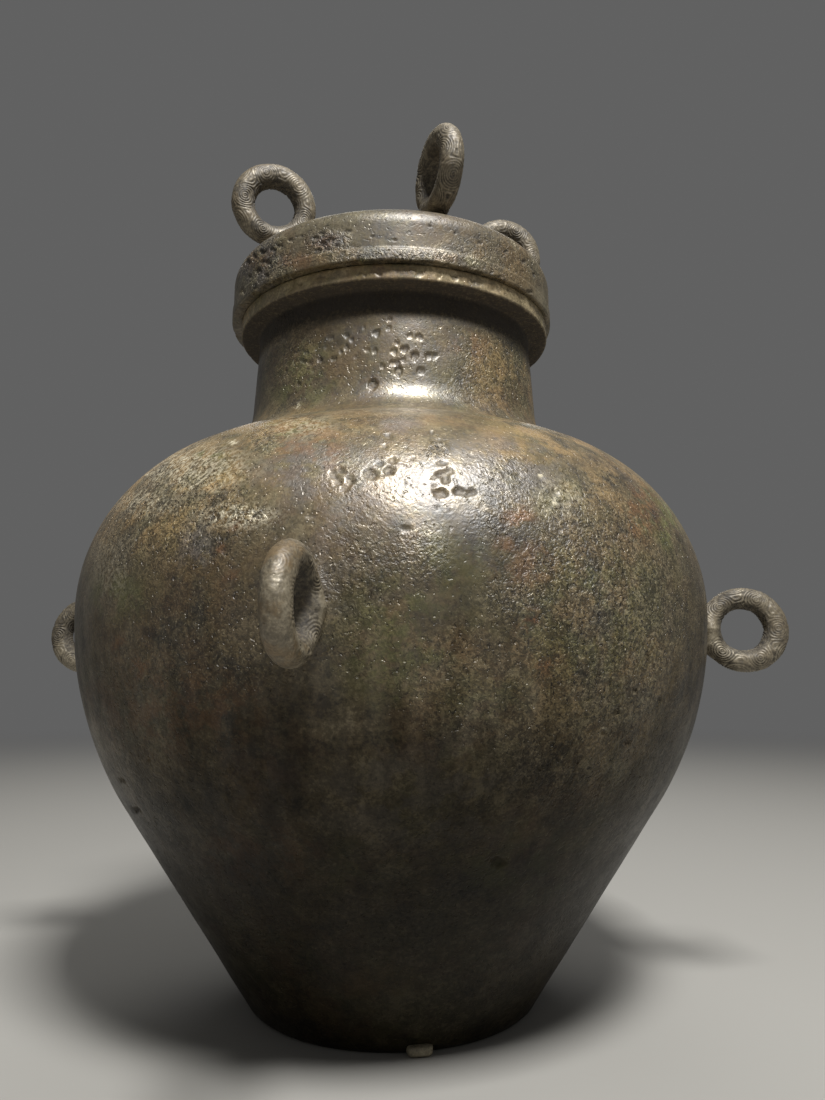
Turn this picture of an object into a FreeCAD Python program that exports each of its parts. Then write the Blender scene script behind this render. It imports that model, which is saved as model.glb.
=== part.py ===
import FreeCAD, Part
import math
import os

import Sketcher

os.makedirs("parts", exist_ok=True)
doc = FreeCAD.newDocument("bronze_jar")

# Driving dimensions in millimetres and degrees. The jar's heights are from its flat underside, and the lid's
# from its seat on the lip. Radii are from the axis of the piece.
SIZES = [
    ("base_radius", 88, "flat underside of the jar"),
    ("base_rounding", 2.5, "worn outer edge of the underside"),
    ("belly_radius", 200, "widest place of the body"),
    ("belly_height", 236, "height of the widest place"),
    ("lower_arc", 210, "section radius of the body below the belly"),
    ("shoulder_arc", 112, "section radius of the shoulder"),
    ("jar_wall", 5, "cast wall of the body and neck"),
    ("floor_thickness", 6, "floor of the jar"),
    ("neck_top_radius", 93.5, "outside of the neck under the lip"),
    ("neck_spread", 5.5, "how much wider the neck's line is where it would meet the shoulder's"),
    ("neck_sweep", 35, "section radius of the hollow sweep between shoulder and neck"),
    ("rim_height", 436, "top face of the lip"),
    ("lip_thickness", 10, "height of the square lip"),
    ("lip_overhang", 13, "how far the lip stands out from the neck"),
    ("lip_rounding", 1.2, "worn edges of the lip"),
    ("jar_ring_count", 4, "ring handles around the belly"),
    ("jar_ring_height", 226, "centre of the belly rings"),
    ("jar_ring_mean", 39.5, "diameter of the middle line of a belly ring's bar"),
    ("jar_ring_bar", 13.8, "thickness of a belly ring's bar"),
    ("jar_ring_bite", 2.4, "how far a belly ring's bar runs into the wall"),
    ("jar_boss_radius", 11, "foot of the boss that a belly ring grows from"),
    ("stub_count", 3, "stub feet around the base"),
    ("stub_angle", 20, "direction of the first stub foot, from the front ring"),
    ("stub_width", 14, "width of a stub foot"),
    ("stub_height", 6, "height of a stub foot"),
    ("stub_reach", 7, "how far a stub foot stands out from the underside"),
    ("stub_root", 6, "how far a stub foot runs in under the floor's edge"),
    ("lid_overhang", 4, "how far the lid's wall stands out from the lip"),
    ("lid_side", 24, "height of the lid's upright wall"),
    ("lid_shoulder", 14, "section radius of the lid's edge"),
    ("lid_crown", 215, "section radius of the lid's top"),
    ("lid_wall", 4.5, "cast wall of the lid"),
    ("lid_edge_rounding", 0.8, "worn lower edge of the lid"),
    ("band_height", 7.4, "lower band of the lid's wall, which stands a little proud"),
    ("band_proud", 0.8, "how far the band stands out from the wall above it"),
    ("band_slope", 0.8, "height of the slanting step at the top of the band"),
    ("seat_thickness", 5, "flat ring of the lid that rests on the lip"),
    ("tongue_clearance", 3, "room between the mouth and the lid's inner rim"),
    ("tongue_depth", 14, "how far the lid's inner rim reaches into the mouth"),
    ("tongue_wall", 4, "wall of the lid's inner rim"),
    ("lid_slip", 0.7, "share of the tongue's room by which the lid sits to one side"),
    ("lid_ring_angle", -60, "direction of the lid's front ring, from the jar's right one"),
    ("lid_right_turn", 84.4, "turn from the lid's front ring to its right one"),
    ("lid_back_turn", 182, "turn from the lid's front ring to its back one"),
    ("lid_left_turn", 281, "turn from the lid's front ring to its left one"),
    ("lid_ring_inset", 31.5, "where a lid ring stands on the crown, in from the lid's wall"),
    ("lid_ring_mean", 41.5, "diameter of the middle line of a lid ring's bar"),
    ("lid_ring_bar", 15, "thickness of a lid ring's bar"),
    ("lid_ring_bite", 1, "how far a lid ring's bar runs into the crown"),
    ("lid_boss_radius", 10.5, "foot of the boss that a lid ring grows from"),
    ("boss_depth", 2.5, "how deep each boss is rooted in the cast wall"),
]

sheet = doc.addObject("Spreadsheet::Sheet", "sizes")
for row, (alias, value, note) in enumerate(SIZES, start=1):
    sheet.set(f"A{row}", note)
    sheet.set(f"B{row}", str(value))
    sheet.setAlias(f"B{row}", alias)
doc.recompute()

# Radii that follow from the neck's: everything at the mouth keeps to it when the neck changes. The sweep under
# a short neck is no larger than the neck is high.
NECK_ROOT = "(sizes.neck_top_radius + sizes.neck_spread)"
NECK_ROOT_REACH = f"({NECK_ROOT} - sizes.belly_radius + sizes.shoulder_arc)"
NECK_FOOT = f"(sizes.belly_height + sqrt(sizes.shoulder_arc ^ 2 - {NECK_ROOT_REACH} ^ 2))"
NECK_SWEEP = f"min(sizes.neck_sweep; sizes.rim_height - sizes.lip_thickness - {NECK_FOOT})"
MOUTH = "(sizes.neck_top_radius - sizes.jar_wall)"
LIP = "(sizes.neck_top_radius + sizes.lip_overhang)"
LID = f"({LIP} + sizes.lid_overhang)"
TONGUE = f"({MOUTH} - sizes.tongue_clearance)"

# Places on a line or arc, a sketch's own level and upright lines (the level one starts at its origin), and
# the directions of its upright line and its face.
START, END, CENTRE = 1, 2, 3
LEVEL, UPRIGHT = -1, -2
UP, OUT = (0, 1, 0), (0, 0, 1)


def worth(expression):
    """What an expression comes to, to draw a sketch close to its solved form."""
    return float(sheet.evalExpression(expression))


def datum(body, role):
    """A plane or axis of the body's own origin."""
    return next(feature for feature in body.Origin.OriginFeatures if feature.Role == role)


class Drawing:
    """A sketch on one of its body's origin planes, with its dimensions bound to the sheet."""

    def __init__(self, body, name, plane):
        self.sketch = body.newObject("Sketcher::SketchObject", name)
        self.sketch.AttachmentSupport = (datum(body, plane), "")
        self.sketch.MapMode = "FlatFace"

    def turn(self, axis, expression):
        """Turns the whole drawing about one of its own axes, by an angle in degrees."""
        start = FreeCAD.Rotation(FreeCAD.Vector(*axis), 1)
        self.sketch.AttachmentOffset = FreeCAD.Placement(FreeCAD.Vector(), start)
        self.sketch.setExpression("AttachmentOffset.Rotation.Angle", expression)

    def shift(self, across=None, up=None, out=None):
        """Moves the whole drawing by expressions along its plane's two directions and off its plane."""
        for name, expression in (("x", across), ("y", up), ("z", out)):
            if expression is not None:
                self.sketch.setExpression(f"AttachmentOffset.Base.{name}", expression)

    def line(self, start, end):
        ends = FreeCAD.Vector(*start, 0), FreeCAD.Vector(*end, 0)
        return self.sketch.addGeometry(Part.LineSegment(*ends))

    def circle(self, centre, radius):
        whole = Part.Circle(FreeCAD.Vector(*centre, 0), FreeCAD.Vector(*OUT), radius)
        return self.sketch.addGeometry(whole)

    def arc(self, centre, radius, low, high):
        """An arc that runs anticlockwise from the angle low to the angle high, in radians."""
        whole = Part.Circle(FreeCAD.Vector(*centre, 0), FreeCAD.Vector(*OUT), radius)
        return self.sketch.addGeometry(Part.ArcOfCircle(whole, low, high))

    def rule(self, *terms):
        return self.sketch.addConstraint(Sketcher.Constraint(*terms))

    def size(self, kind, *terms):
        """A dimension: its kind, what it measures, and last the expression that drives it."""
        measured, expression = terms[:-1], terms[-1]
        index = self.rule(kind, *measured, worth(expression))
        self.sketch.setExpression(f"Constraints[{index}]", expression)

    def place(self, geometry, point, across, up):
        """A point's distances from the sketch's upright and level axes; None leaves one free."""
        if across is not None:
            self.size("DistanceX", LEVEL, START, geometry, point, across)
        if up is not None:
            self.size("DistanceY", LEVEL, START, geometry, point, up)

    def join(self, first, second):
        """Makes the end of one line or arc, given as (geometry, point), meet another's."""
        self.rule("Coincident", *first, *second)

    def level(self, *geometries):
        for geometry in geometries:
            self.rule("Horizontal", geometry)

    def upright(self, *geometries):
        for geometry in geometries:
            self.rule("Vertical", geometry)


def turned(body, name, drawing):
    """A full turn of a sketch about its own upright axis."""
    feature = body.newObject("PartDesign::Revolution", name)
    feature.Profile = drawing.sketch
    feature.ReferenceAxis = (drawing.sketch, ["V_Axis"])
    feature.Angle = 360
    drawing.sketch.Visibility = False
    doc.recompute()
    return feature


def rounded(body, name, base, wanted, radius):
    """Rounds the round edges of a feature that pass through the wanted (radius, height) places."""
    edges = []
    for number, edge in enumerate(base.Shape.Edges, start=1):
        point = edge.valueAt(edge.FirstParameter)
        place = (math.hypot(point.x, point.y), point.z)
        if len(edge.Vertexes) == 1 and any(math.dist(place, spot) < 0.01 for spot in wanted):
            edges.append(f"Edge{number}")
    if len(edges) != len(wanted):
        raise RuntimeError(f"{name} finds {len(edges)} of its {len(wanted)} edges")
    feature = body.newObject("PartDesign::Fillet", name)
    feature.Base = (base, edges)
    feature.setExpression("Radius", radius)
    doc.recompute()
    return feature


def around(body, name, originals, count, angle="360"):
    """Repeats features evenly about the body's upright axis: over a full turn, or up to an angle."""
    feature = body.newObject("PartDesign::PolarPattern", name)
    feature.Originals = originals
    feature.Axis = (datum(body, "Z_Axis"), [""])
    feature.setExpression("Angle", angle)
    feature.setExpression("Occurrences", count)
    body.Tip = feature
    doc.recompute()
    return feature


# The jar is cast in one: a thin wall turned from one half section, four ring handles and three stub feet.
jar = doc.addObject("PartDesign::Body", "jar")
jar.Label = "jar"


def draw_jar_section():
    """Half of the jar's section, outside and inside, drawn up from the middle of the underside."""
    base, belly = worth("sizes.base_radius"), worth("sizes.belly_radius")
    height, wall = worth("sizes.belly_height"), worth("sizes.jar_wall")
    lower, shoulder = worth("sizes.lower_arc"), worth("sizes.shoulder_arc")
    floor, rim = worth("sizes.floor_thickness"), worth("sizes.rim_height")
    thick = worth("sizes.lip_thickness")
    root, top, lip, mouth = worth(NECK_ROOT), worth("sizes.neck_top_radius"), worth(LIP), worth(MOUTH)

    low_centre, high_centre = (belly - lower, height), (belly - shoulder, height)
    reach = math.hypot(low_centre[0] - base, height)
    rise = math.atan2(height, low_centre[0] - base) - math.asin(lower / reach)
    touch = rise - math.pi / 2

    def on(centre, radius, angle):
        return centre[0] + radius * math.cos(angle), centre[1] + radius * math.sin(angle)

    meet = math.acos((root - high_centre[0]) / shoulder)
    meet_in = math.acos((root - wall - high_centre[0]) / (shoulder - wall))
    wall_top_in = on(low_centre, lower - wall, touch)
    wall_foot_in = (wall_top_in[0] - (wall_top_in[1] - floor) / math.tan(rise), floor)

    drawing = Drawing(jar, "jar_section", "XZ_Plane")
    drawing.turn(UP, "-180 / sizes.jar_ring_count")
    underside = drawing.line((0, 0), (base, 0))
    wall_out = drawing.line((base, 0), on(low_centre, lower, touch))
    belly_out = drawing.arc(low_centre, lower, touch, 0)
    shoulder_out = drawing.arc(high_centre, shoulder, 0, meet)
    neck_out = drawing.line(on(high_centre, shoulder, meet), (top, rim - thick))
    lip_under = drawing.line((top, rim - thick), (lip, rim - thick))
    lip_side = drawing.line((lip, rim - thick), (lip, rim))
    lip_top = drawing.line((lip, rim), (mouth, rim))
    neck_in = drawing.line((mouth, rim), on(high_centre, shoulder - wall, meet_in))
    shoulder_in = drawing.arc(high_centre, shoulder - wall, 0, meet_in)
    belly_in = drawing.arc(low_centre, lower - wall, touch, 0)
    wall_in = drawing.line(wall_top_in, wall_foot_in)
    floor_top = drawing.line(wall_foot_in, (0, floor))
    middle = drawing.line((0, floor), (0, 0))

    drawing.rule("Coincident", underside, START, LEVEL, START)
    drawing.level(underside, lip_under, lip_top, floor_top)
    drawing.upright(lip_side, middle)
    drawing.place(underside, END, "sizes.base_radius", None)
    drawing.join((underside, END), (wall_out, START))
    drawing.rule("Tangent", wall_out, END, belly_out, START)
    drawing.place(belly_out, END, "sizes.belly_radius", "sizes.belly_height")
    drawing.rule("Horizontal", belly_out, CENTRE, belly_out, END)
    drawing.size("Radius", belly_out, "sizes.lower_arc")
    drawing.join((belly_out, END), (shoulder_out, START))
    drawing.rule("Horizontal", shoulder_out, CENTRE, shoulder_out, START)
    drawing.size("Radius", shoulder_out, "sizes.shoulder_arc")
    drawing.place(shoulder_out, END, NECK_ROOT, None)
    drawing.join((shoulder_out, END), (neck_out, START))
    drawing.place(neck_out, END, "sizes.neck_top_radius", "sizes.rim_height - sizes.lip_thickness")
    drawing.join((neck_out, END), (lip_under, START))
    drawing.join((lip_under, END), (lip_side, START))
    drawing.place(lip_side, END, LIP, "sizes.rim_height")
    drawing.join((lip_side, END), (lip_top, START))
    drawing.place(lip_top, END, MOUTH, None)
    drawing.join((lip_top, END), (neck_in, START))
    drawing.join((neck_in, END), (shoulder_in, END))
    drawing.place(shoulder_in, END, f"{NECK_ROOT} - sizes.jar_wall", None)
    drawing.join((shoulder_in, CENTRE), (shoulder_out, CENTRE))
    drawing.place(shoulder_in, START, "sizes.belly_radius - sizes.jar_wall", "sizes.belly_height")
    drawing.join((shoulder_in, START), (belly_in, END))
    drawing.join((belly_in, CENTRE), (belly_out, CENTRE))
    drawing.rule("Tangent", wall_in, START, belly_in, START)
    drawing.rule("Parallel", wall_in, wall_out)
    drawing.join((wall_in, END), (floor_top, START))
    drawing.place(floor_top, END, None, "sizes.floor_thickness")
    drawing.join((floor_top, END), (middle, START))
    drawing.join((middle, END), (underside, START))
    doc.recompute()
    outer = drawing.sketch.getPoint(shoulder_out, END)
    inner = drawing.sketch.getPoint(shoulder_in, END)
    return drawing, (outer.x, outer.y), (inner.x, inner.y)


jar_section, neck_root, neck_root_inside = draw_jar_section()
shell = turned(jar, "jar_shell", jar_section)
shell = rounded(jar, "neck_hollow", shell, [neck_root], NECK_SWEEP)
shell = rounded(jar, "neck_inside", shell, [neck_root_inside], f"{NECK_SWEEP} + sizes.jar_wall")
lip_edges = [
    (worth(LIP), worth("sizes.rim_height")),
    (worth(LIP), worth("sizes.rim_height - sizes.lip_thickness")),
    (worth(MOUTH), worth("sizes.rim_height")),
]
shell = rounded(jar, "lip_edges", shell, lip_edges, "sizes.lip_rounding")
rounded(jar, "base_edge", shell, [(worth("sizes.base_radius"), 0)], "sizes.base_rounding")


def draw_ring(body, name, mean, bar, centre_across, centre_up):
    """The round section of a ring's bar, drawn level with the ring's centre and turned about it."""
    drawing = Drawing(body, name, "XY_Plane")
    drawing.turn(UP, "180")
    drawing.shift(across=centre_across, out=centre_up)
    section = drawing.circle((-worth(mean) / 2, 0), worth(bar) / 2)
    drawing.place(section, CENTRE, f"-{mean} / 2", None)
    drawing.rule("PointOnObject", section, CENTRE, LEVEL)
    drawing.size("Diameter", section, bar)
    return drawing


def draw_boss(body, name, foot_radius, bar, bite):
    """Half of a boss, from its root in the wall to the middle of the bar that it carries."""
    drawing = Drawing(body, name, "XZ_Plane")
    deep, wide = worth("sizes.boss_depth"), worth(foot_radius)
    high, slim = worth(f"{bar} / 2 - {bite}"), worth(bar) / 2
    middle = drawing.line((0, -deep), (0, high))
    crest = drawing.line((0, high), (slim, high))
    flank = drawing.line((slim, high), (wide, 0))
    side = drawing.line((wide, 0), (wide, -deep))
    root = drawing.line((wide, -deep), (0, -deep))
    drawing.join((middle, END), (crest, START))
    drawing.join((crest, END), (flank, START))
    drawing.join((flank, END), (side, START))
    drawing.join((side, END), (root, START))
    drawing.join((root, END), (middle, START))
    drawing.upright(middle, side)
    drawing.level(crest, root)
    drawing.rule("PointOnObject", middle, START, UPRIGHT)
    drawing.place(middle, START, None, "-sizes.boss_depth")
    drawing.place(crest, END, f"{bar} / 2", f"{bar} / 2 - {bite}")
    drawing.place(side, START, foot_radius, "0")
    return drawing


# The wall's radius level with the belly rings, below or above the widest place, and the middle of a ring.
DROP = "(sizes.belly_height - sizes.jar_ring_height)"
ARC = f"({DROP} > 0 ? sizes.lower_arc : sizes.shoulder_arc)"
WALL_AT_RING = f"(sizes.belly_radius - {ARC} + sqrt({ARC} ^ 2 - {DROP} ^ 2))"
RING_CENTRE = f"{WALL_AT_RING} - sizes.jar_ring_bite + (sizes.jar_ring_mean + sizes.jar_ring_bar) / 2"

ring_bar = draw_ring(
    jar,
    "ring_bar_section",
    "sizes.jar_ring_mean",
    "sizes.jar_ring_bar",
    RING_CENTRE,
    "sizes.jar_ring_height",
)
ring = turned(jar, "ring", ring_bar)
ring_boss = draw_boss(
    jar,
    "ring_boss_section",
    "sizes.jar_boss_radius",
    "sizes.jar_ring_bar",
    "sizes.jar_ring_bite",
)
ring_boss.turn(OUT, "-90")
ring_boss.shift(across=WALL_AT_RING, up="sizes.jar_ring_height")
boss = turned(jar, "ring_boss", ring_boss)
around(jar, "rings", [ring, boss], "sizes.jar_ring_count")


def draw_stub():
    """Plan of one stub foot: a block whose outer end is half round."""
    drawing = Drawing(jar, "stub_plan", "XY_Plane")
    drawing.turn(OUT, "sizes.stub_angle - 90")
    inner, outer = worth("sizes.base_radius - sizes.stub_root"), worth("sizes.base_radius + sizes.stub_reach")
    half = worth("sizes.stub_width") / 2
    lower = drawing.line((inner, -half), (outer - half, -half))
    nose = drawing.arc((outer - half, 0), half, -math.pi / 2, math.pi / 2)
    upper = drawing.line((outer - half, half), (inner, half))
    back = drawing.line((inner, half), (inner, -half))
    drawing.rule("Tangent", lower, END, nose, START)
    drawing.rule("Tangent", nose, END, upper, START)
    drawing.join((upper, END), (back, START))
    drawing.join((back, END), (lower, START))
    drawing.level(lower, upper)
    drawing.upright(back)
    drawing.rule("PointOnObject", nose, CENTRE, LEVEL)
    drawing.place(nose, CENTRE, "sizes.base_radius + sizes.stub_reach - sizes.stub_width / 2", None)
    drawing.size("DistanceY", lower, END, upper, START, "sizes.stub_width")
    drawing.place(lower, START, "sizes.base_radius - sizes.stub_root", None)
    return drawing


stub_plan = draw_stub()
stub = jar.newObject("PartDesign::Pad", "stub")
stub.Profile = stub_plan.sketch
stub.setExpression("Length", "sizes.stub_height")
doc.recompute()
around(jar, "stubs", [stub], "sizes.stub_count")


# The lid is cast in one: a crowned cap with a band around its foot, a rim that drops into the mouth and
# four ring handles.
lid = doc.addObject("PartDesign::Body", "lid")
lid.Label = "lid"

# The crown's centre lies on the axis, where the crown runs smoothly into the lid's rounded edge.
CROWN_DROP = f"sqrt((sizes.lid_crown - sizes.lid_shoulder) ^ 2 - ({LID} - sizes.lid_shoulder) ^ 2)"
CROWN_CENTRE = f"(sizes.lid_side - {CROWN_DROP})"
RING_PLACE = f"({LID} - sizes.lid_ring_inset)"
LEAN = f"asin({RING_PLACE} / sizes.lid_crown)"

# The radius of the lid's lower band.
BAND = f"({LID} + sizes.band_proud)"


def draw_lid_section():
    """Half of the lid's section, drawn around from the seat, up the outside and down the inside."""
    tongue, middle_height = worth(TONGUE), worth(CROWN_CENTRE)
    radius, side, wall = worth(LID), worth("sizes.lid_side"), worth("sizes.lid_wall")
    edge, crown, seat = worth("sizes.lid_shoulder"), worth("sizes.lid_crown"), worth("sizes.seat_thickness")
    band_radius, band_top, slope = worth(BAND), worth("sizes.band_height"), worth("sizes.band_slope")
    deep, slim = worth("sizes.tongue_depth"), worth("sizes.tongue_wall")
    edge_centre, crown_centre = (radius - edge, side), (0, middle_height)
    meet = math.atan2(side - middle_height, radius - edge)

    def on(centre, reach, angle):
        return centre[0] + reach * math.cos(angle), centre[1] + reach * math.sin(angle)

    drawing = Drawing(lid, "lid_section", "XZ_Plane")
    drawing.turn(UP, "sizes.lid_right_turn / 2")
    seat_face = drawing.line((tongue, 0), (band_radius, 0))
    band = drawing.line((band_radius, 0), (band_radius, band_top))
    step = drawing.line((band_radius, band_top), (radius, band_top + slope))
    wall_out = drawing.line((radius, band_top + slope), (radius, side))
    edge_out = drawing.arc(edge_centre, edge, 0, meet)
    crown_out = drawing.arc(crown_centre, crown, meet, math.pi / 2)
    axis = drawing.line((0, middle_height + crown), (0, middle_height + crown - wall))
    crown_in = drawing.arc(crown_centre, crown - wall, meet, math.pi / 2)
    edge_in = drawing.arc(edge_centre, edge - wall, 0, meet)
    wall_in = drawing.line((radius - wall, side), (radius - wall, seat))
    seat_top = drawing.line((radius - wall, seat), (tongue - slim, seat))
    tongue_in = drawing.line((tongue - slim, seat), (tongue - slim, -deep))
    tongue_foot = drawing.line((tongue - slim, -deep), (tongue, -deep))
    tongue_out = drawing.line((tongue, -deep), (tongue, 0))

    drawing.level(seat_face, seat_top, tongue_foot)
    drawing.upright(band, wall_out, axis, wall_in, tongue_in, tongue_out)
    drawing.rule("PointOnObject", seat_face, START, LEVEL)
    drawing.place(seat_face, START, TONGUE, None)
    drawing.place(seat_face, END, BAND, None)
    drawing.join((seat_face, END), (band, START))
    drawing.place(band, END, None, "sizes.band_height")
    drawing.join((band, END), (step, START))
    drawing.join((step, END), (wall_out, START))
    drawing.place(step, END, LID, "sizes.band_height + sizes.band_slope")
    drawing.place(wall_out, END, None, "sizes.lid_side")
    drawing.rule("Tangent", wall_out, END, edge_out, START)
    drawing.size("Radius", edge_out, "sizes.lid_shoulder")
    drawing.rule("Tangent", edge_out, END, crown_out, START)
    drawing.size("Radius", crown_out, "sizes.lid_crown")
    drawing.rule("PointOnObject", crown_out, CENTRE, UPRIGHT)
    drawing.rule("PointOnObject", crown_out, END, UPRIGHT)
    drawing.join((crown_out, END), (axis, START))
    drawing.join((axis, END), (crown_in, END))
    drawing.join((crown_in, CENTRE), (crown_out, CENTRE))
    drawing.rule("Tangent", crown_in, START, edge_in, END)
    drawing.join((edge_in, CENTRE), (edge_out, CENTRE))
    drawing.place(edge_in, START, f"{LID} - sizes.lid_wall", "sizes.lid_side")
    drawing.join((edge_in, START), (wall_in, START))
    drawing.place(wall_in, END, None, "sizes.seat_thickness")
    drawing.join((wall_in, END), (seat_top, START))
    drawing.place(seat_top, END, f"{TONGUE} - sizes.tongue_wall", None)
    drawing.join((seat_top, END), (tongue_in, START))
    drawing.place(tongue_in, END, None, "-sizes.tongue_depth")
    drawing.join((tongue_in, END), (tongue_foot, START))
    drawing.join((tongue_foot, END), (tongue_out, START))
    drawing.join((tongue_out, END), (seat_face, START))
    return drawing


lid_section = draw_lid_section()
cap = turned(lid, "cap", lid_section)
rounded(lid, "lid_edge", cap, [(worth(BAND), 0)], "sizes.lid_edge_rounding")

# How far a lid ring's middle is from the crown's centre.
RING_REACH = "(sizes.lid_crown - sizes.lid_ring_bite + (sizes.lid_ring_mean + sizes.lid_ring_bar) / 2)"
lid_ring_bar = draw_ring(
    lid,
    "lid_ring_bar_section",
    "sizes.lid_ring_mean",
    "sizes.lid_ring_bar",
    f"{RING_REACH} * sin({LEAN})",
    f"{CROWN_CENTRE} + {RING_REACH} * cos({LEAN})",
)
lid_ring = turned(lid, "lid_ring", lid_ring_bar)
lid_boss_section = draw_boss(
    lid,
    "lid_boss_section",
    "sizes.lid_boss_radius",
    "sizes.lid_ring_bar",
    "sizes.lid_ring_bite",
)
lid_boss_section.turn(OUT, f"-{LEAN}")
lid_boss_section.shift(across=RING_PLACE, up=f"{CROWN_CENTRE} + sizes.lid_crown * cos({LEAN})")
lid_boss = turned(lid, "lid_boss", lid_boss_section)

# The other three lid rings were set by eye, at turns of their own from the front one.
for side in ("right", "back", "left"):
    around(lid, f"lid_ring_{side}", [lid_ring, lid_boss], "2", f"sizes.lid_{side}_turn")

# The lid rests on the lip, a little to one side within its room, with its rings turned away from the jar's.
lid.Placement = FreeCAD.Placement(FreeCAD.Vector(), FreeCAD.Rotation(FreeCAD.Vector(0, 0, 1), 1))
lid.setExpression("Placement.Base.x", "-sizes.lid_slip * sizes.tongue_clearance")
lid.setExpression("Placement.Base.z", "sizes.rim_height")
lid.setExpression("Placement.Rotation.Angle", "sizes.lid_ring_angle")
doc.recompute()

pieces = [jar, lid]
for feature in doc.Objects:
    if "Invalid" in feature.State or "Error" in feature.State:
        raise RuntimeError(f"{feature.Label} did not compute: {feature.State}")
for piece in pieces:
    if piece.Shape.isNull() or not piece.Shape.isValid() or len(piece.Shape.Solids) != 1:
        raise RuntimeError(f"{piece.Label} is not one sound solid")
for piece in pieces:
    piece.Shape.exportStep(f"parts/{piece.Label}.step")
    box = piece.Shape.BoundBox
    litres = piece.Shape.Volume / 1e6
    print(f"{piece.Label}: {litres:.4f} litres of metal, height {box.ZMin:.2f} to {box.ZMax:.2f}")
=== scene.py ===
import math

import bpy
import numpy as np
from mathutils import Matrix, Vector, noise
from mathutils.bvhtree import BVHTree


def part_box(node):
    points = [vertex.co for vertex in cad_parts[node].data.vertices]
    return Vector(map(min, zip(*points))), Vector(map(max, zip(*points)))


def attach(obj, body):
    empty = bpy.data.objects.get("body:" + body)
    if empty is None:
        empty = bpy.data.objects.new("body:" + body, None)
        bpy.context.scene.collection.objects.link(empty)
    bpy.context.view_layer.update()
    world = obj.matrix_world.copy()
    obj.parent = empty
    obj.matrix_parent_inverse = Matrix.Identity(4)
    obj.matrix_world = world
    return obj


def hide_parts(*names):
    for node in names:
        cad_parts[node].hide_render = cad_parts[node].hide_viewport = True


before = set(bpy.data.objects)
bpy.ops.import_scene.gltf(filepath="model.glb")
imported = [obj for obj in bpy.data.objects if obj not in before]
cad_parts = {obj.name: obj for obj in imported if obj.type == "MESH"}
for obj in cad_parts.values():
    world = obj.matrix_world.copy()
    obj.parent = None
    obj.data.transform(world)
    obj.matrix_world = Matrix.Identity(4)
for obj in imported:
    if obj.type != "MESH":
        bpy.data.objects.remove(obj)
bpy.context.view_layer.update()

# The camera stands close in front of the jar, a little to its right and level with the lower belly, and
# looks slightly up, with a wide lens and no roll.
CAMERA_PLACE = Vector((0.1057, -0.5510, 0.1955))
CAMERA_SIGHT = Vector((-0.1643, 0.9744, 0.1534))
LENS = 27.164
SENSOR = 36.0
PHOTO_WIDTH = 825
PHOTO_HEIGHT = 1100
NEAREST = 0.01


def linked(name, data):
    """A new object in the scene, made of the given mesh, camera or lamp."""
    made = bpy.data.objects.new(name, data)
    bpy.context.scene.collection.objects.link(made)
    return made


camera_turn = CAMERA_SIGHT.to_track_quat("-Z", "Y")
camera_data = bpy.data.cameras.new("camera")
camera_data.lens = LENS
camera_data.sensor_width = SENSOR
camera = linked("camera", camera_data)
camera.location = CAMERA_PLACE
camera.rotation_euler = camera_turn.to_euler()
bpy.context.scene.camera = camera
focal = LENS / SENSOR * PHOTO_HEIGHT


def sight_through(across, down):
    """The direction from the camera through a pixel of the photograph."""
    aim = Vector(((across - PHOTO_WIDTH / 2) / focal, (PHOTO_HEIGHT / 2 - down) / focal, -1))
    return (camera_turn @ aim).normalized()


def seen_at(places, out):
    """Where the photograph shows each place, in pixels across and down. What faces away goes off the
    frame, to its left."""
    moved = (places - np.array(CAMERA_PLACE)) @ np.array(camera_turn.to_matrix())
    pixels = moved[:, :2] * focal / np.maximum(-moved[:, 2:], NEAREST)
    seen = np.column_stack((PHOTO_WIDTH / 2 + pixels[:, 0], PHOTO_HEIGHT / 2 - pixels[:, 1]))
    seen[((np.array(CAMERA_PLACE) - places) * out).sum(axis=1) < 0] = -PHOTO_WIDTH
    return seen


# The jar's body is one thin bronze casting, turned in form: a tapering foot, a full belly, a round shoulder,
# a short neck and a thick square lip. Its skin is pitted and crusted, and burnished on the shoulder.
jar_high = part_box("jar")[1]
RIM_HEIGHT = jar_high.z
LIP_THICKNESS = 0.010
LIP_RADIUS = 0.1065
LIP_EASE = 0.0013
NECK_TOP_RADIUS = 0.0935
NECK_ROOT_RADIUS = 0.099
NECK_EASE = 0.024
SHOULDER_ARC = 0.112
LOWER_ARC = 0.210
BELLY_RADIUS = 0.200
BELLY_HEIGHT = 0.236
BASE_RADIUS = 0.088
BASE_EASE = 0.003
JAR_WALL = 0.005
FLOOR_THICKNESS = 0.006
BEND_STEPS = 9


def arc(centre, radius, start, end, steps=60):
    """Points of an arc in a half section, each a radius from the axis and a height."""
    angles = np.linspace(start, end, steps)
    return np.column_stack((centre[0] + radius * np.cos(angles), centre[1] + radius * np.sin(angles)))


def eased(outline, corners):
    """An outline with each corner, given as (place, setback), replaced by a short smooth curve."""
    for place, setback in corners:
        steps = np.hypot(*np.diff(outline, axis=0).T)
        run = np.concatenate(([0], np.cumsum(steps)))
        corner = int(np.argmin(np.hypot(*(outline - place).T)))
        low, high = run[corner] - setback, run[corner] + setback
        before = np.array([np.interp(low, run, outline[:, 0]), np.interp(low, run, outline[:, 1])])
        after = np.array([np.interp(high, run, outline[:, 0]), np.interp(high, run, outline[:, 1])])
        share = np.linspace(0, 1, BEND_STEPS)[:, None]
        bend = (1 - share) ** 2 * before + 2 * share * (1 - share) * outline[corner] + share**2 * after
        outline = np.concatenate((outline[run < low], bend, outline[run > high]))
    return outline


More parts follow.
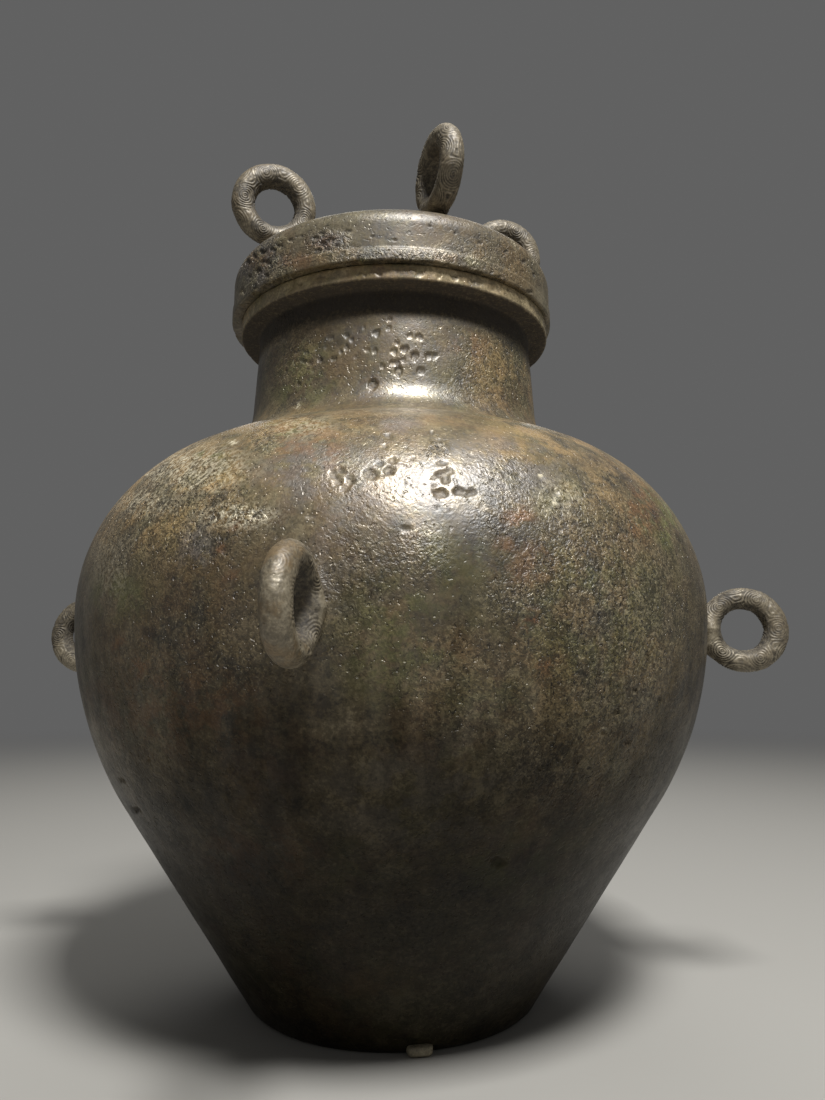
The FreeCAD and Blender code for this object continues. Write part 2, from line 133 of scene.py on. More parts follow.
def jar_outline():
    """The jar's half section, from the middle of the underside up the outside and down the inside."""
    low_centre = (BELLY_RADIUS - LOWER_ARC, BELLY_HEIGHT)
    high_centre = (BELLY_RADIUS - SHOULDER_ARC, BELLY_HEIGHT)
    reach = math.hypot(low_centre[0] - BASE_RADIUS, BELLY_HEIGHT)
    rise = math.atan2(BELLY_HEIGHT, low_centre[0] - BASE_RADIUS) - math.asin(LOWER_ARC / reach)
    touch = rise - math.pi / 2
    lower, shoulder = LOWER_ARC - JAR_WALL, SHOULDER_ARC - JAR_WALL
    root, root_inside = NECK_ROOT_RADIUS, NECK_ROOT_RADIUS - JAR_WALL
    meet = math.acos((root - high_centre[0]) / SHOULDER_ARC)
    meet_inside = math.acos((root_inside - high_centre[0]) / shoulder)
    mouth = NECK_TOP_RADIUS - JAR_WALL
    wall_inside = arc(low_centre, lower, 0, touch)
    foot_inside = wall_inside[-1][0] - (wall_inside[-1][1] - FLOOR_THICKNESS) / math.tan(rise)
    neck_root = (
        high_centre[0] + SHOULDER_ARC * math.cos(meet),
        high_centre[1] + SHOULDER_ARC * math.sin(meet),
    )
    outline = np.concatenate((
        [(0, 0), (BASE_RADIUS, 0)],
        arc(low_centre, LOWER_ARC, touch, 0),
        arc(high_centre, SHOULDER_ARC, 0, meet)[1:],
        [
            (NECK_TOP_RADIUS, RIM_HEIGHT - LIP_THICKNESS),
            (LIP_RADIUS, RIM_HEIGHT - LIP_THICKNESS),
            (LIP_RADIUS, RIM_HEIGHT),
            (mouth, RIM_HEIGHT),
        ],
        arc(high_centre, shoulder, meet_inside, 0),
        wall_inside[1:],
        [(foot_inside, FLOOR_THICKNESS), (0, FLOOR_THICKNESS)],
    ))
    corners = [
        ((BASE_RADIUS, 0), BASE_EASE),
        (neck_root, NECK_EASE),
        ((NECK_TOP_RADIUS, RIM_HEIGHT - LIP_THICKNESS), LIP_EASE),
        ((LIP_RADIUS, RIM_HEIGHT - LIP_THICKNESS), LIP_EASE),
        ((LIP_RADIUS, RIM_HEIGHT), LIP_EASE),
        ((mouth, RIM_HEIGHT), LIP_EASE),
    ]
    return eased(outline, corners)


class Turned:
    """A surface of revolution about an upright axis, read by angle and by length along its half section."""

    def __init__(self, outline, axis=(0, 0)):
        steps = np.hypot(*np.diff(outline, axis=0).T)
        self.run = np.concatenate(([0], np.cumsum(steps)))
        self.length = self.run[-1]
        self.outline = outline
        self.axis = axis

    def run_to(self, radius, height):
        """The length along the half section to its point nearest to a place."""
        return self.run[np.argmin(np.hypot(self.outline[:, 0] - radius, self.outline[:, 1] - height))]

    def places(self, angle, along):
        radius = np.interp(along, self.run, self.outline[:, 0])
        height = np.interp(along, self.run, self.outline[:, 1])
        across, deep = self.axis[0] + radius * np.cos(angle), self.axis[1] + radius * np.sin(angle)
        return np.column_stack((across, deep, height))

    def facing(self, angle, along, reach=0.0004):
        """Unit vectors that point out of the metal."""
        low, high = np.clip(along - reach, 0, self.length), np.clip(along + reach, 0, self.length)
        rise = np.interp(high, self.run, self.outline[:, 1]) - np.interp(low, self.run, self.outline[:, 1])
        spread = np.interp(high, self.run, self.outline[:, 0]) - np.interp(low, self.run, self.outline[:, 0])
        size = np.hypot(rise, spread)
        out, up = rise / size, -spread / size
        return np.column_stack((out * np.cos(angle), out * np.sin(angle), up))


def keep_marks(mesh, marks):
    """Keeps each kind of mark as a number at every corner of the mesh, for the materials to read."""
    for mark, worth in marks.items():
        mesh.attributes.new(mark, "FLOAT", "POINT").data.foreach_set("value", worth.astype(np.float32))


def skin(name, turned, columns, rows, halvings, fineness, relief):
    """A closed mesh of a turned form: a grid over angle and length whose cells are halved until each is as
    small as fineness asks for at its middle, then raised or sunk by relief. The seam faces the back."""
    seam = math.pi / 2
    fine = 2**halvings
    around, top = columns * fine, rows * fine
    column, row = (part.ravel() for part in np.meshgrid(np.arange(columns), np.arange(rows)))
    leaves = []
    for level in range(halvings + 1):
        span = 2 ** (halvings - level)
        angle = seam + (column + 0.5) * span / around * math.tau
        along = (row + 0.5) * span / top * turned.length
        size = span / top * turned.length
        split = (size > fineness(turned.places(angle, along), along)) & (level < halvings)
        kept = column[~split] * span, row[~split] * span, np.full((~split).sum(), span)
        leaves.append(np.column_stack(kept))
        column, row = column[split] * 2, row[split] * 2
        column, row = (
            np.concatenate((column, column + 1, column, column + 1)),
            np.concatenate((row, row, row + 1, row + 1)),
        )
    numbers, places, faces = {}, [], []

    def corner(across, up, make=True):
        across = 0 if up in (0, top) else across % around
        key = across, up
        if make and key not in numbers:
            numbers[key] = len(places)
            places.append(key)
        return numbers.get(key)

    cells = np.concatenate(leaves).tolist()
    for across, up, span in cells:
        for step_across, step_up in ((0, 0), (span, 0), (span, span), (0, span)):
            corner(across + step_across, up + step_up)

    def side(start, end):
        """The corners that lie on one side of a cell, without its end."""
        middle = (start[0] + end[0]) / 2, (start[1] + end[1]) / 2
        whole = middle[0] % 1 == 0 and middle[1] % 1 == 0
        if whole and corner(int(middle[0]), int(middle[1]), make=False) is not None:
            middle = int(middle[0]), int(middle[1])
            return side(start, middle) + side(middle, end)
        return [corner(*start)]

    for across, up, span in cells:
        ends = (across, up), (across + span, up), (across + span, up + span), (across, up + span)
        if up == 0 or up + span == top:
            edge = [corner(*end) for end in ends]
            edge = [number for place, number in enumerate(edge) if number != edge[place - 1]]
            faces.append(edge)
            continue
        edge = [number for start, end in zip(ends, ends[1:] + ends[:1]) for number in side(start, end)]
        if len(edge) == 4:
            faces.append(edge)
            continue
        middle = len(places)
        places.append((across + span / 2, up + span / 2))
        faces.extend([middle, edge[place - 1], edge[place]] for place in range(len(edge)))
    grid = np.array(places, dtype=float)
    angle, along = seam + grid[:, 0] / around * math.tau, grid[:, 1] / top * turned.length
    base, out = turned.places(angle, along), turned.facing(angle, along)
    height, marks = relief(base, out, along)
    mesh = bpy.data.meshes.new(name)
    mesh.from_pydata((base + out * height[:, None]).tolist(), [], faces)
    mesh.shade_smooth()
    keep_marks(mesh, marks)
    return linked(name, mesh)


def lumps(places, size, seed=0.0):
    """Smooth noise from -1 to 1 at each place, with lumps of about the given size."""
    moved = (places / size + seed).tolist()
    return np.array([noise.noise(place) for place in moved])


def roughened(value, places, layers, seed=0.0):
    """A value with layers of lumps added, each given by its strength, the size of its lumps and its seed."""
    for strength, size, own_seed in layers:
        value = value + strength * lumps(places, size, seed + own_seed)
    return value


def solid_tree(node):
    """The solid of a node of the frame, ready for rays to be cast at it."""
    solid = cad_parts[node]
    corners = [solid.matrix_world @ corner.co for corner in solid.data.vertices]
    return BVHTree.FromPolygons(corners, [face.vertices[:] for face in solid.data.polygons])


def seen_on(tree, across, down):
    """The place on a solid that the photograph shows at a pixel."""
    return tree.ray_cast(CAMERA_PLACE, sight_through(across, down))[0]


def smooth(value):
    """Runs gently from 0 to 1 as a value does, and stays there."""
    value = np.clip(value, 0, 1)
    return value * value * (3 - 2 * value)


# Pits eaten into the skin, each by its middle, width and height in the photograph's pixels.
PIXEL = 0.0005
NECK_PITS = [
    (330, 338, 6, 5), (301, 351, 5, 4), (306, 353, 5, 4), (304, 362, 6, 5), (309, 363, 6, 5),
    (320, 360, 7, 6), (334, 359, 7, 6), (347, 336, 6, 5), (352, 340, 5, 5), (347, 349, 6, 6),
    (364, 328, 3, 3), (376, 333, 8, 6), (388, 329, 6, 4), (390, 319, 5, 4), (410, 336, 6, 5),
    (419, 337, 8, 5), (367, 350, 6, 4), (375, 351, 6, 5), (397, 343, 6, 5), (394, 351, 7, 6),
    (404, 349, 9, 7), (415, 356, 8, 8), (431, 356, 16, 6), (395, 363, 11, 6), (398, 371, 8, 10),
    (382, 366, 5, 5), (421, 371, 8, 6), (372, 385, 10, 11), (299, 385, 5, 5), (451, 378, 3, 3),
    (356, 357, 4, 3), (341, 352, 4, 4), (313, 371, 4, 4), (286, 371, 4, 4), (326, 347, 4, 3),
    (404, 360, 5, 4),
]
SHOULDER_PITS = [
    (389, 436, 10, 6), (385, 446, 6, 5), (406, 448, 3, 3), (413, 458, 5, 3), (431, 433, 6, 5),
    (439, 440, 9, 4), (437, 449, 12, 7), (393, 460, 9, 8), (380, 464, 8, 5), (389, 470, 11, 9),
    (371, 475, 14, 11), (334, 474, 9, 9), (341, 470, 8, 7), (338, 481, 9, 8), (350, 480, 9, 8),
    (345, 488, 9, 6), (442, 463, 12, 4), (444, 474, 14, 9), (446, 481, 8, 7), (450, 471, 7, 7),
    (440, 493, 17, 8), (434, 478, 4, 4), (434, 486, 4, 4), (460, 491, 12, 9), (467, 493, 8, 7),
    (473, 492, 7, 7), (405, 483, 3, 3), (406, 529, 9, 5), (437, 508, 3, 3), (450, 511, 3, 3),
    (311, 516, 13, 4), (277, 537, 8, 3), (242, 512, 5, 4), (257, 517, 9, 5), (505, 476, 5, 4),
    (519, 475, 5, 4), (541, 478, 6, 4), (554, 493, 9, 8), (492, 482, 4, 3), (481, 506, 4, 3),
    (517, 492, 4, 3), (470, 455, 4, 3),
]
LEFT_PITS = [
    (133, 509, 5, 4), (147, 534, 5, 4), (214, 517, 7, 4), (208, 525, 5, 4), (220, 537, 5, 4),
    (224, 551, 6, 5), (242, 500, 4, 3), (160, 502, 4, 3), (158, 512, 4, 3), (176, 520, 4, 3),
    (196, 505, 4, 3), (250, 470, 5, 3),
]
RIGHT_PITS = [
    (590, 560, 5, 4), (612, 540, 5, 4), (633, 575, 5, 4), (600, 600, 6, 5), (640, 610, 5, 5),
    (620, 640, 6, 5), (575, 650, 5, 4), (648, 655, 5, 5), (598, 675, 6, 5), (635, 690, 6, 5),
    (617, 712, 7, 6), (604, 733, 6, 5), (628, 742, 6, 5), (660, 700, 4, 5), (572, 585, 5, 4),
    (655, 560, 4, 4), (560, 530, 5, 4), (586, 700, 5, 4),
]
LOWER_PITS = [
    (499, 862, 16, 11), (136, 810, 8, 6), (122, 780, 6, 5), (150, 760, 4, 4), (320, 700, 4, 3),
    (460, 790, 4, 4), (360, 720, 4, 3), (440, 735, 4, 3), (240, 640, 4, 3), (280, 760, 4, 3),
    (540, 770, 5, 4), (420, 905, 4, 3),
]
LIP_PITS = [
    (300, 284, 5, 4), (380, 274, 5, 3), (365, 275, 4, 3), (455, 276, 5, 3), (474, 281, 5, 4),
    (322, 277, 15, 3),
]
JAR_PITS = NECK_PITS + SHOULDER_PITS + LEFT_PITS + RIGHT_PITS + LOWER_PITS + LIP_PITS
PIT_SHARE = 0.26
DEEPEST_PIT = 0.0011
PIT_EDGE = 1.15
PIT_FADE = 0.45
PIT_RAGS = ((0.45, 0.0030, 0.0), (0.30, 0.0012, 1.0))
PIT_FLOOR_LUMPS = ((0.35, 0.0009, 3.0),)

# Stains of the patina, each by its middle, width and height in pixels, and its strength.
JAR_STAINS = {
    "ochre": [
        (165, 490, 190, 120, 1.0), (300, 425, 160, 34, 0.7), (505, 375, 66, 96, 0.8),
        (540, 440, 140, 44, 0.8), (610, 485, 100, 50, 0.6), (260, 455, 100, 50, 0.6),
        (420, 640, 140, 140, 0.4), (600, 640, 160, 230, 0.6), (376, 985, 80, 44, 0.5),
        (200, 570, 130, 90, 0.4), (330, 372, 90, 50, 0.3), (425, 420, 90, 20, 0.4),
    ],
    "green": [
        (662, 515, 40, 66, 0.9), (400, 640, 120, 120, 0.7), (118, 598, 56, 46, 0.7),
        (289, 428, 44, 18, 0.7), (520, 865, 130, 80, 0.5), (340, 870, 70, 60, 0.4),
        (596, 620, 140, 170, 0.5), (450, 560, 90, 70, 0.4), (210, 455, 28, 14, 0.8),
        (300, 375, 70, 60, 0.6), (480, 700, 90, 70, 0.4), (560, 500, 60, 40, 0.3),
    ],
    "rust": [
        (530, 623, 22, 32, 1.0), (547, 667, 30, 16, 0.8), (520, 517, 30, 22, 0.9), (505, 545, 24, 16, 0.7),
        (640, 515, 36, 56, 0.7), (530, 565, 60, 50, 0.5), (175, 710, 170, 90, 0.5),
        (260, 855, 120, 60, 0.5), (139, 668, 16, 20, 0.9), (119, 648, 16, 20, 0.8), (233, 525, 14, 12, 0.9),
        (220, 548, 10, 10, 0.9), (233, 577, 14, 12, 0.7), (300, 440, 80, 44, 0.5), (330, 455, 50, 30, 0.5),
        (470, 345, 40, 30, 0.4),
    ],
    "slate": [
        (310, 472, 100, 66, 0.8), (500, 470, 110, 66, 0.7), (399, 425, 44, 14, 0.8),
        (196, 548, 32, 56, 0.8), (336, 560, 60, 110, 0.5), (250, 820, 160, 160, 0.4),
        (430, 800, 220, 120, 0.5), (420, 345, 90, 60, 0.4),
    ],
    "crust": [
        (264, 440, 30, 30, 0.9), (420, 560, 60, 60, 0.6), (525, 600, 90, 60, 0.9), (245, 516, 46, 18, 1.0),
        (600, 620, 180, 260, 1.0), (510, 500, 70, 110, 0.5), (170, 520, 180, 110, 0.8),
        (437, 450, 20, 18, 1.0), (560, 740, 160, 120, 0.7), (350, 600, 120, 140, 0.5),
        (470, 680, 160, 120, 0.6), (500, 370, 90, 90, 0.7), (200, 640, 190, 140, 0.5),
        (290, 350, 60, 80, 0.6),
    ],
    "cream": [
        (214, 520, 8, 4, 1.0), (133, 506, 7, 4, 1.0), (147, 504, 9, 4, 0.9), (160, 500, 4, 3, 0.9),
        (233, 442, 9, 4, 0.9), (185, 459, 9, 4, 0.9), (198, 459, 10, 4, 0.9), (191, 471, 9, 4, 0.9),
        (181, 477, 8, 4, 0.9), (174, 472, 8, 4, 0.8), (210, 472, 9, 4, 0.9), (177, 486, 8, 4, 0.9),
        (195, 486, 8, 4, 0.9), (298, 406, 6, 5, 0.9), (284, 343, 5, 4, 0.9), (340, 545, 5, 4, 1.0),
        (314, 482, 4, 4, 0.9), (333, 866, 5, 5, 0.7), (175, 599, 4, 4, 0.8), (556, 502, 8, 10, 0.9),
        (541, 475, 7, 4, 0.9), (600, 597, 7, 4, 0.8), (598, 671, 7, 5, 0.8), (617, 708, 8, 5, 0.8),
        (162, 452, 12, 6, 0.6), (150, 474, 12, 6, 0.6), (238, 512, 34, 10, 0.5), (604, 729, 7, 5, 0.8),
        (190, 468, 110, 46, 0.45), (145, 503, 60, 24, 0.5), (238, 516, 70, 22, 0.8),
        (112, 570, 34, 70, 0.3), (625, 640, 90, 160, 0.18), (555, 500, 50, 40, 0.3),
        (375, 470, 110, 30, 0.2), (300, 425, 60, 20, 0.3),
    ],
}
STAIN_EDGE = 1.6
STAIN_FADE = 1.2

# Stains where the photograph doesn't look, each by its kind, size of lump, seed and strength.
NATURAL_STAINS = (
    ("ochre", 0.10, 31.0, 0.5), ("green", 0.08, 47.0, 0.5), ("rust", 0.05, 59.0, 0.5),
    ("slate", 0.09, 71.0, 0.45), ("crust", 0.07, 83.0, 0.6),
)
NATURAL_CONTRAST = 1.6
NATURAL_IN_FRONT = 0.35


def from_spot(seen, across, down, width, height):
    """Which of the pixels lie near a spot, and how far off its middle these are: 1 at the spot's edge."""
    near = (np.abs(seen[:, 0] - across) < width) & (np.abs(seen[:, 1] - down) < height)
    return near, np.hypot((seen[near, 0] - across) / width, (seen[near, 1] - down) / height) * 2


def pitted(places, out, pits, seed):
    """How deep each place lies in the ragged, flat bottomed pits, and from 0 to 1 how far it is in one."""
    seen = seen_at(places, out)
    deep, inside = np.zeros(len(places)), np.zeros(len(places))
    for across, down, width, height in pits:
        near, off = from_spot(seen, across, down, width, height)
        if not near.any():
            continue
        share = smooth((PIT_EDGE - roughened(off, places[near], PIT_RAGS, seed)) / PIT_FADE)
        depth = min(min(width, height) * PIXEL * PIT_SHARE, DEEPEST_PIT)
        floor_lumps = roughened(1, places[near], PIT_FLOOR_LUMPS, seed)
        deep[near] = np.maximum(deep[near], depth * share * floor_lumps)
        inside[near] = np.maximum(inside[near], share)
    return deep, inside


def stained(places, out, stains):
    """How strongly each kind of stain shows at each place: as in the photograph, and at random elsewhere."""
    seen = seen_at(places, out)
    marks = {}
    for kind, size, seed, strength in NATURAL_STAINS:
        marks[kind] = strength * smooth(0.5 + NATURAL_CONTRAST * lumps(places, size, seed))
    for kind, spots in stains.items():
        total = np.zeros(len(places))
        for across, down, width, height, strength in spots:
            near, off = from_spot(seen, across, down, width, height)
            total[near] = np.maximum(total[near], strength * smooth((STAIN_EDGE - off) / STAIN_FADE))
        shown = seen[:, 0] > 0
        natural = marks.get(kind, np.zeros(len(places)))
        marks[kind] = np.where(shown, np.maximum(total, NATURAL_IN_FRONT * natural), natural)
    return marks


# The roots of the rings, where the wall is drawn up in an oval, and the belly rings' own places.
BELLY_RING_HEIGHT = 0.226
BELLY_RING_ANGLES = {"front": -math.pi / 2, "right": 0, "back": math.pi / 2, "left": math.pi}
ROOT_LENGTH = 0.0130
ROOT_WIDTH = 0.0085
ROOT_RISE = 0.0016
ROOT_EDGE = 1.7
ROOT_FADE = 0.8
ROOT_DEEP = 0.02
ROOT_REACH = ROOT_LENGTH * 1.3


def round_root(places, middle, upright, aside):
    """From 0 to 1, how near each place is to the oval root of a ring whose middle lies on the wall."""
    away = places - middle
    off = np.hypot(away @ upright / ROOT_LENGTH, away @ aside / ROOT_WIDTH)
    return smooth((ROOT_EDGE - off) / ROOT_FADE) * (np.abs(away @ np.cross(upright, aside)) < ROOT_DEEP)


# Sizes of the cells of the jar's mesh: fine in the marks that the photograph shows, coarser away from them,
# and coarse at the back and inside.
JAR_COLUMNS = 80
JAR_ROWS = 78
JAR_HALVINGS = 5
COARSENING = 1.1
PIT_REACH = 0.6
FRONT_CELL = 0.0045
BACK_CELL = 0.009
UPPER_CELL = 0.0036
LIP_CELL = 0.0011
LIP_BACK_CELL = 0.0022
PIT_CELL = 0.0010
ROOT_CELL = 0.0022
INSIDE_CELL = 0.016
FRONT_DEPTH = 0.05
UPPER_FOOT = 0.30
UPPER_WIDTH = 0.12
LIP_FINE_BELOW = 0.003
LIP_FINE_INSIDE = 0.004
MOUTH_MARGIN = 0.004


def near_marks(places, marks, fine):
    """The cell size that small marks, given by middle and reach, ask for: fine there and coarser away."""
    size = np.full(len(places), 1.0)
    for middle, reach in marks:
        away = np.linalg.norm(places - middle, axis=1) - reach
        size = np.minimum(size, np.maximum(fine, COARSENING * away))
    return size


def pit_marks(tree, pits):
    """The middle of each pit on the solid, and how far it reaches."""
    return [
        (np.array(seen_on(tree, across, down)), max(width, height) * PIXEL * PIT_REACH)
        for across, down, width, height in pits
    ]


jar_turned = Turned(jar_outline())
belly_roots = [
    (np.array((BELLY_RADIUS * math.cos(angle), BELLY_RADIUS * math.sin(angle), BELLY_RING_HEIGHT)), angle)
    for angle in BELLY_RING_ANGLES.values()
]
jar_pit_marks = pit_marks(solid_tree("jar"), JAR_PITS)
root_marks = [(middle, ROOT_REACH) for middle, angle in belly_roots]
mouth_run = jar_turned.run_to(NECK_TOP_RADIUS - JAR_WALL, RIM_HEIGHT) + MOUTH_MARGIN


def jar_fineness(places, along):
    """The mesh is finest in the pits and at the lip, fine where the photograph looks, and coarse inside."""
    front = places[:, 1] < FRONT_DEPTH
    upper = front & (places[:, 2] > UPPER_FOOT) & (np.abs(places[:, 0]) < UPPER_WIDTH)
    size = np.where(front, FRONT_CELL, BACK_CELL)
    size = np.where(upper, UPPER_CELL, size)
    lip = places[:, 2] > RIM_HEIGHT - LIP_THICKNESS - LIP_FINE_BELOW
    lip = lip & (np.hypot(places[:, 0], places[:, 1]) > LIP_RADIUS - LIP_FINE_INSIDE)
    size = np.where(lip, np.where(front, LIP_CELL, LIP_BACK_CELL), size)
    size = np.minimum(size, near_marks(places, jar_pit_marks, PIT_CELL))
    size = np.minimum(size, near_marks(places, root_marks, ROOT_CELL))
    return np.where(along > mouth_run, INSIDE_CELL, size)


# The jar's dents, and the wear of its lip: what is lost in chips and what is rubbed off. A painted shadow
# darkens the top of the neck and the underside of the lip, and the underside of the foot stays flat.
JAR_DENTS = ((0.0004, 0.06, 0.0), (0.00016, 0.018, 5.0))
JAR_PIT_SEED = 2.0
LIP_WORN_BAND = 0.7 * LIP_THICKNESS
LIP_CHIP_SIZE = 0.007
LIP_CHIP_SEED = 11.0
LIP_CHIP_CONTRAST = 4
LIP_CHIP_LEVEL = 1.2
LIP_CHIP_DEPTH = 0.0006
LIP_RUB_SIZE = 0.0025
LIP_RUB_SEED = 13.0
LIP_RUB_DEPTH = 0.0002
FLAT_UNTIL = 0.004
UNDER_LIP_LOW = 0.404
UNDER_LIP_HIGH = RIM_HEIGHT - LIP_THICKNESS + 0.0012
UNDER_LIP_FADE_LOW = 0.012
UNDER_LIP_FADE_HIGH = 0.0015
UNDER_LIP_PAINTED_SHADOW = 2.4
PIT_DIRT = 0.6
CHIP_DIRT = 0.4


def jar_relief(places, out, along):
    """The old casting's dents, pits and chipped lip, and its wall drawn up around the roots of the rings."""
    height = roughened(0, places, JAR_DENTS)
    deep, inside = pitted(places, out, JAR_PITS, JAR_PIT_SEED)
    height = height - deep
    outward = (places[:, :2] * out[:, :2]).sum(axis=1) > 0
    for middle, angle in belly_roots:
        aside = np.array((-math.sin(angle), math.cos(angle), 0))
        root = round_root(places, middle, np.array((0.0, 0.0, 1.0)), aside)
        height = height + np.where(outward, ROOT_RISE * root, 0)
    lip = smooth(1 - np.abs(places[:, 2] - RIM_HEIGHT + LIP_THICKNESS / 2) / LIP_WORN_BAND) * outward
    chips = smooth(LIP_CHIP_CONTRAST * lumps(places, LIP_CHIP_SIZE, LIP_CHIP_SEED) - LIP_CHIP_LEVEL)
    rubbed = np.abs(lumps(places, LIP_RUB_SIZE, LIP_RUB_SEED))
    height = height - lip * (LIP_CHIP_DEPTH * chips + LIP_RUB_DEPTH * rubbed)
    height = height * np.clip(places[:, 2] / FLAT_UNTIL, 0, 1)
    marks = stained(places, out, JAR_STAINS)
    # Painted shadow of the lip: the top of the neck and the underside of the lip are darkened, besides the
    # dirt in pits and chips.
    under_lip_shadow = smooth((places[:, 2] - UNDER_LIP_LOW) / UNDER_LIP_FADE_LOW)
    under_lip_shadow = under_lip_shadow * smooth((UNDER_LIP_HIGH - places[:, 2]) / UNDER_LIP_FADE_HIGH)
    shaded = UNDER_LIP_PAINTED_SHADOW * under_lip_shadow * (along < mouth_run)
    marks["hollow"] = np.maximum(PIT_DIRT * inside, np.maximum(CHIP_DIRT * lip * chips, shaded))
    return height, marks


jar_body = skin("jar_body", jar_turned, JAR_COLUMNS, JAR_ROWS, JAR_HALVINGS, jar_fineness, jar_relief)
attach(jar_body, "root")
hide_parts("jar")


def part(tree, kind, inputs=None, **settings):
    """Adds a node, sets it up, and gives each input a value or another node's output."""
    made = tree.nodes.new(kind)
    for name, value in settings.items():
        setattr(made, name, value)
    for name, value in (inputs or {}).items():
        if isinstance(value, bpy.types.NodeSocket):
            tree.links.new(value, made.inputs[name])
        else:
            made.inputs[name].default_value = value
    return made


def plus(tree, first, second):
    return part(tree, "ShaderNodeMath", {0: first, 1: second}, operation="ADD").outputs[0]


def less(tree, first, second):
    return part(tree, "ShaderNodeMath", {0: first, 1: second}, operation="SUBTRACT").outputs[0]


def times(tree, first, second):
    return part(tree, "ShaderNodeMath", {0: first, 1: second}, operation="MULTIPLY").outputs[0]


def ranged(tree, value, low, high, to_low=0.0, to_high=1.0):
    """A smooth step from one worth to another, as a value goes from low to high."""
    names = {"Value": value, "From Min": low, "From Max": high, "To Min": to_low, "To Max": to_high}
    return part(tree, "ShaderNodeMapRange", names, interpolation_type="SMOOTHSTEP").outputs["Result"]


def mixed(tree, share, under, over, way="MIX"):
    names = {0: share, 6: under, 7: over}
    return part(tree, "ShaderNodeMix", names, data_type="RGBA", blend_type=way).outputs[2]


def grey(tree, value):
    """The grey colour of a value."""
    return part(tree, "ShaderNodeCombineColor", {0: value, 1: value, 2: value}).outputs[0]


def clouded(tree, place, scale, detail=4.0, rough=0.6, twist=0.0):
    names = {"Vector": place, "Scale": scale, "Detail": detail, "Roughness": rough, "Distortion": twist}
    return part(tree, "ShaderNodeTexNoise", names).outputs["Fac"]


def group(name, takes, gives):
    """An empty node group with named inputs and outputs, given by name and kind."""
    made = bpy.data.node_groups.new(name, "ShaderNodeTree")
    for label, kind in takes:
        made.interface.new_socket(label, in_out="INPUT", socket_type=kind)
    for label, kind in gives:
        made.interface.new_socket(label, in_out="OUTPUT", socket_type=kind)
    return made, made.nodes.new("NodeGroupInput").outputs, made.nodes.new("NodeGroupOutput").inputs


# What the ground has left on the metal: the colour of each kind of stain, of dirt and of grains of grit.
# The dirt colour also paints shade under the lip and on the inner sides of the rings.
STAIN_COLOURS = {
    "ochre": (0.185, 0.124, 0.055, 1),
    "green": (0.100, 0.103, 0.036, 1),
    "slate": (0.110, 0.096, 0.082, 1),
    "rust": (0.140, 0.070, 0.030, 1),
    "cream": (0.480, 0.430, 0.310, 1),
}
DIRT_AND_SHADE = (0.022, 0.017, 0.012, 1)
GRIT = (0.300, 0.255, 0.160, 1)

# Noises of the patina by scale, detail and roughness, and the share of the tone that the first three have.
CLOUDS = 13.0, 5.0, 0.6
BLOTCHES = 75.0, 5.0, 0.68
GRAIN = 480.0, 3.0, 0.7
GRITS = 900.0, 2.0, 0.6
HOLES = 650.0, 2.0, 0.6
CLOUD_SHARE = 0.34
BLOTCH_SHARE = 0.36
GRAIN_SHARE = 0.30

# Where along a noise or the tone each change starts and ends, and what it goes from and to.
TO_MIDDLE = 0.42, 0.50
TO_LIGHT = 0.50, 0.59
CREAM_FLAKES = 420.0, 0.49, 0.54
STAIN_SCALE = 42.0
STAIN_SCALE_STEP = 13.0
STAIN_BREAK = 0.43, 0.57
FLAKE_DETAIL = 6.0
FLAKE_ROUGH = 0.7
TO_GRIT = 0.58, 0.68
GRIT_SHARE = 0.8
TO_HOLE = 0.40, 0.30
HOLES_IN_PLAIN = 0.25
DIRT_AND_SHADE_THINS = 0.35, 0.62, 1.0, 0.6

patina, taken, given = group(
    "patina",
    [("Place", "NodeSocketVector")]
    + [(label, "NodeSocketColor") for label in ("Dark", "Middle", "Light")]
    + [(label, "NodeSocketFloat") for label in ("Crust", "Dirt_And_Painted_Shade", "Dirt_Shade_Strength")]
    + [(kind.title(), "NodeSocketFloat") for kind in STAIN_COLOURS],
    [("Color", "NodeSocketColor"), ("Tone", "NodeSocketFloat")],
)
clouds = clouded(patina, taken["Place"], *CLOUDS)
blotches = clouded(patina, taken["Place"], *BLOTCHES)
grain = clouded(patina, taken["Place"], *GRAIN)
tone = plus(patina, times(patina, clouds, CLOUD_SHARE), times(patina, blotches, BLOTCH_SHARE))
tone = plus(patina, tone, times(patina, grain, GRAIN_SHARE))
colour = mixed(patina, ranged(patina, tone, *TO_MIDDLE), taken["Dark"], taken["Middle"])
colour = mixed(patina, ranged(patina, tone, *TO_LIGHT), colour, taken["Light"])
for step, (kind, stain_colour) in enumerate(STAIN_COLOURS.items()):
    flakes = CREAM_FLAKES if kind == "cream" else (STAIN_SCALE + STAIN_SCALE_STEP * step, *STAIN_BREAK)
    flaky = clouded(patina, taken["Place"], flakes[0], FLAKE_DETAIL, FLAKE_ROUGH)
    broken = ranged(patina, flaky, *flakes[1:])
    colour = mixed(patina, times(patina, taken[kind.title()], broken), colour, stain_colour)
grit = ranged(patina, clouded(patina, taken["Place"], *GRITS), *TO_GRIT)
grit = times(patina, grit, times(patina, taken["Crust"], GRIT_SHARE))
colour = mixed(patina, grit, colour, GRIT)
holes = ranged(patina, clouded(patina, taken["Place"], *HOLES), *TO_HOLE)
holes = times(patina, holes, plus(patina, taken["Crust"], HOLES_IN_PLAIN))
colour = mixed(patina, holes, colour, DIRT_AND_SHADE)
# Dirt and painted shade: the marked places take the dirt colour, for dirt in pits, grooves and chips and for
# painted shade under the lip and inside the rings.
dirt_and_shade_share = times(patina, taken["Dirt_And_Painted_Shade"], ranged(patina, grain, *DIRT_AND_SHADE_THINS))
colour = mixed(patina, times(patina, dirt_and_shade_share, taken["Dirt_Shade_Strength"]), colour, DIRT_AND_SHADE)
patina.links.new(colour, given["Color"])
patina.links.new(tone, given["Tone"])

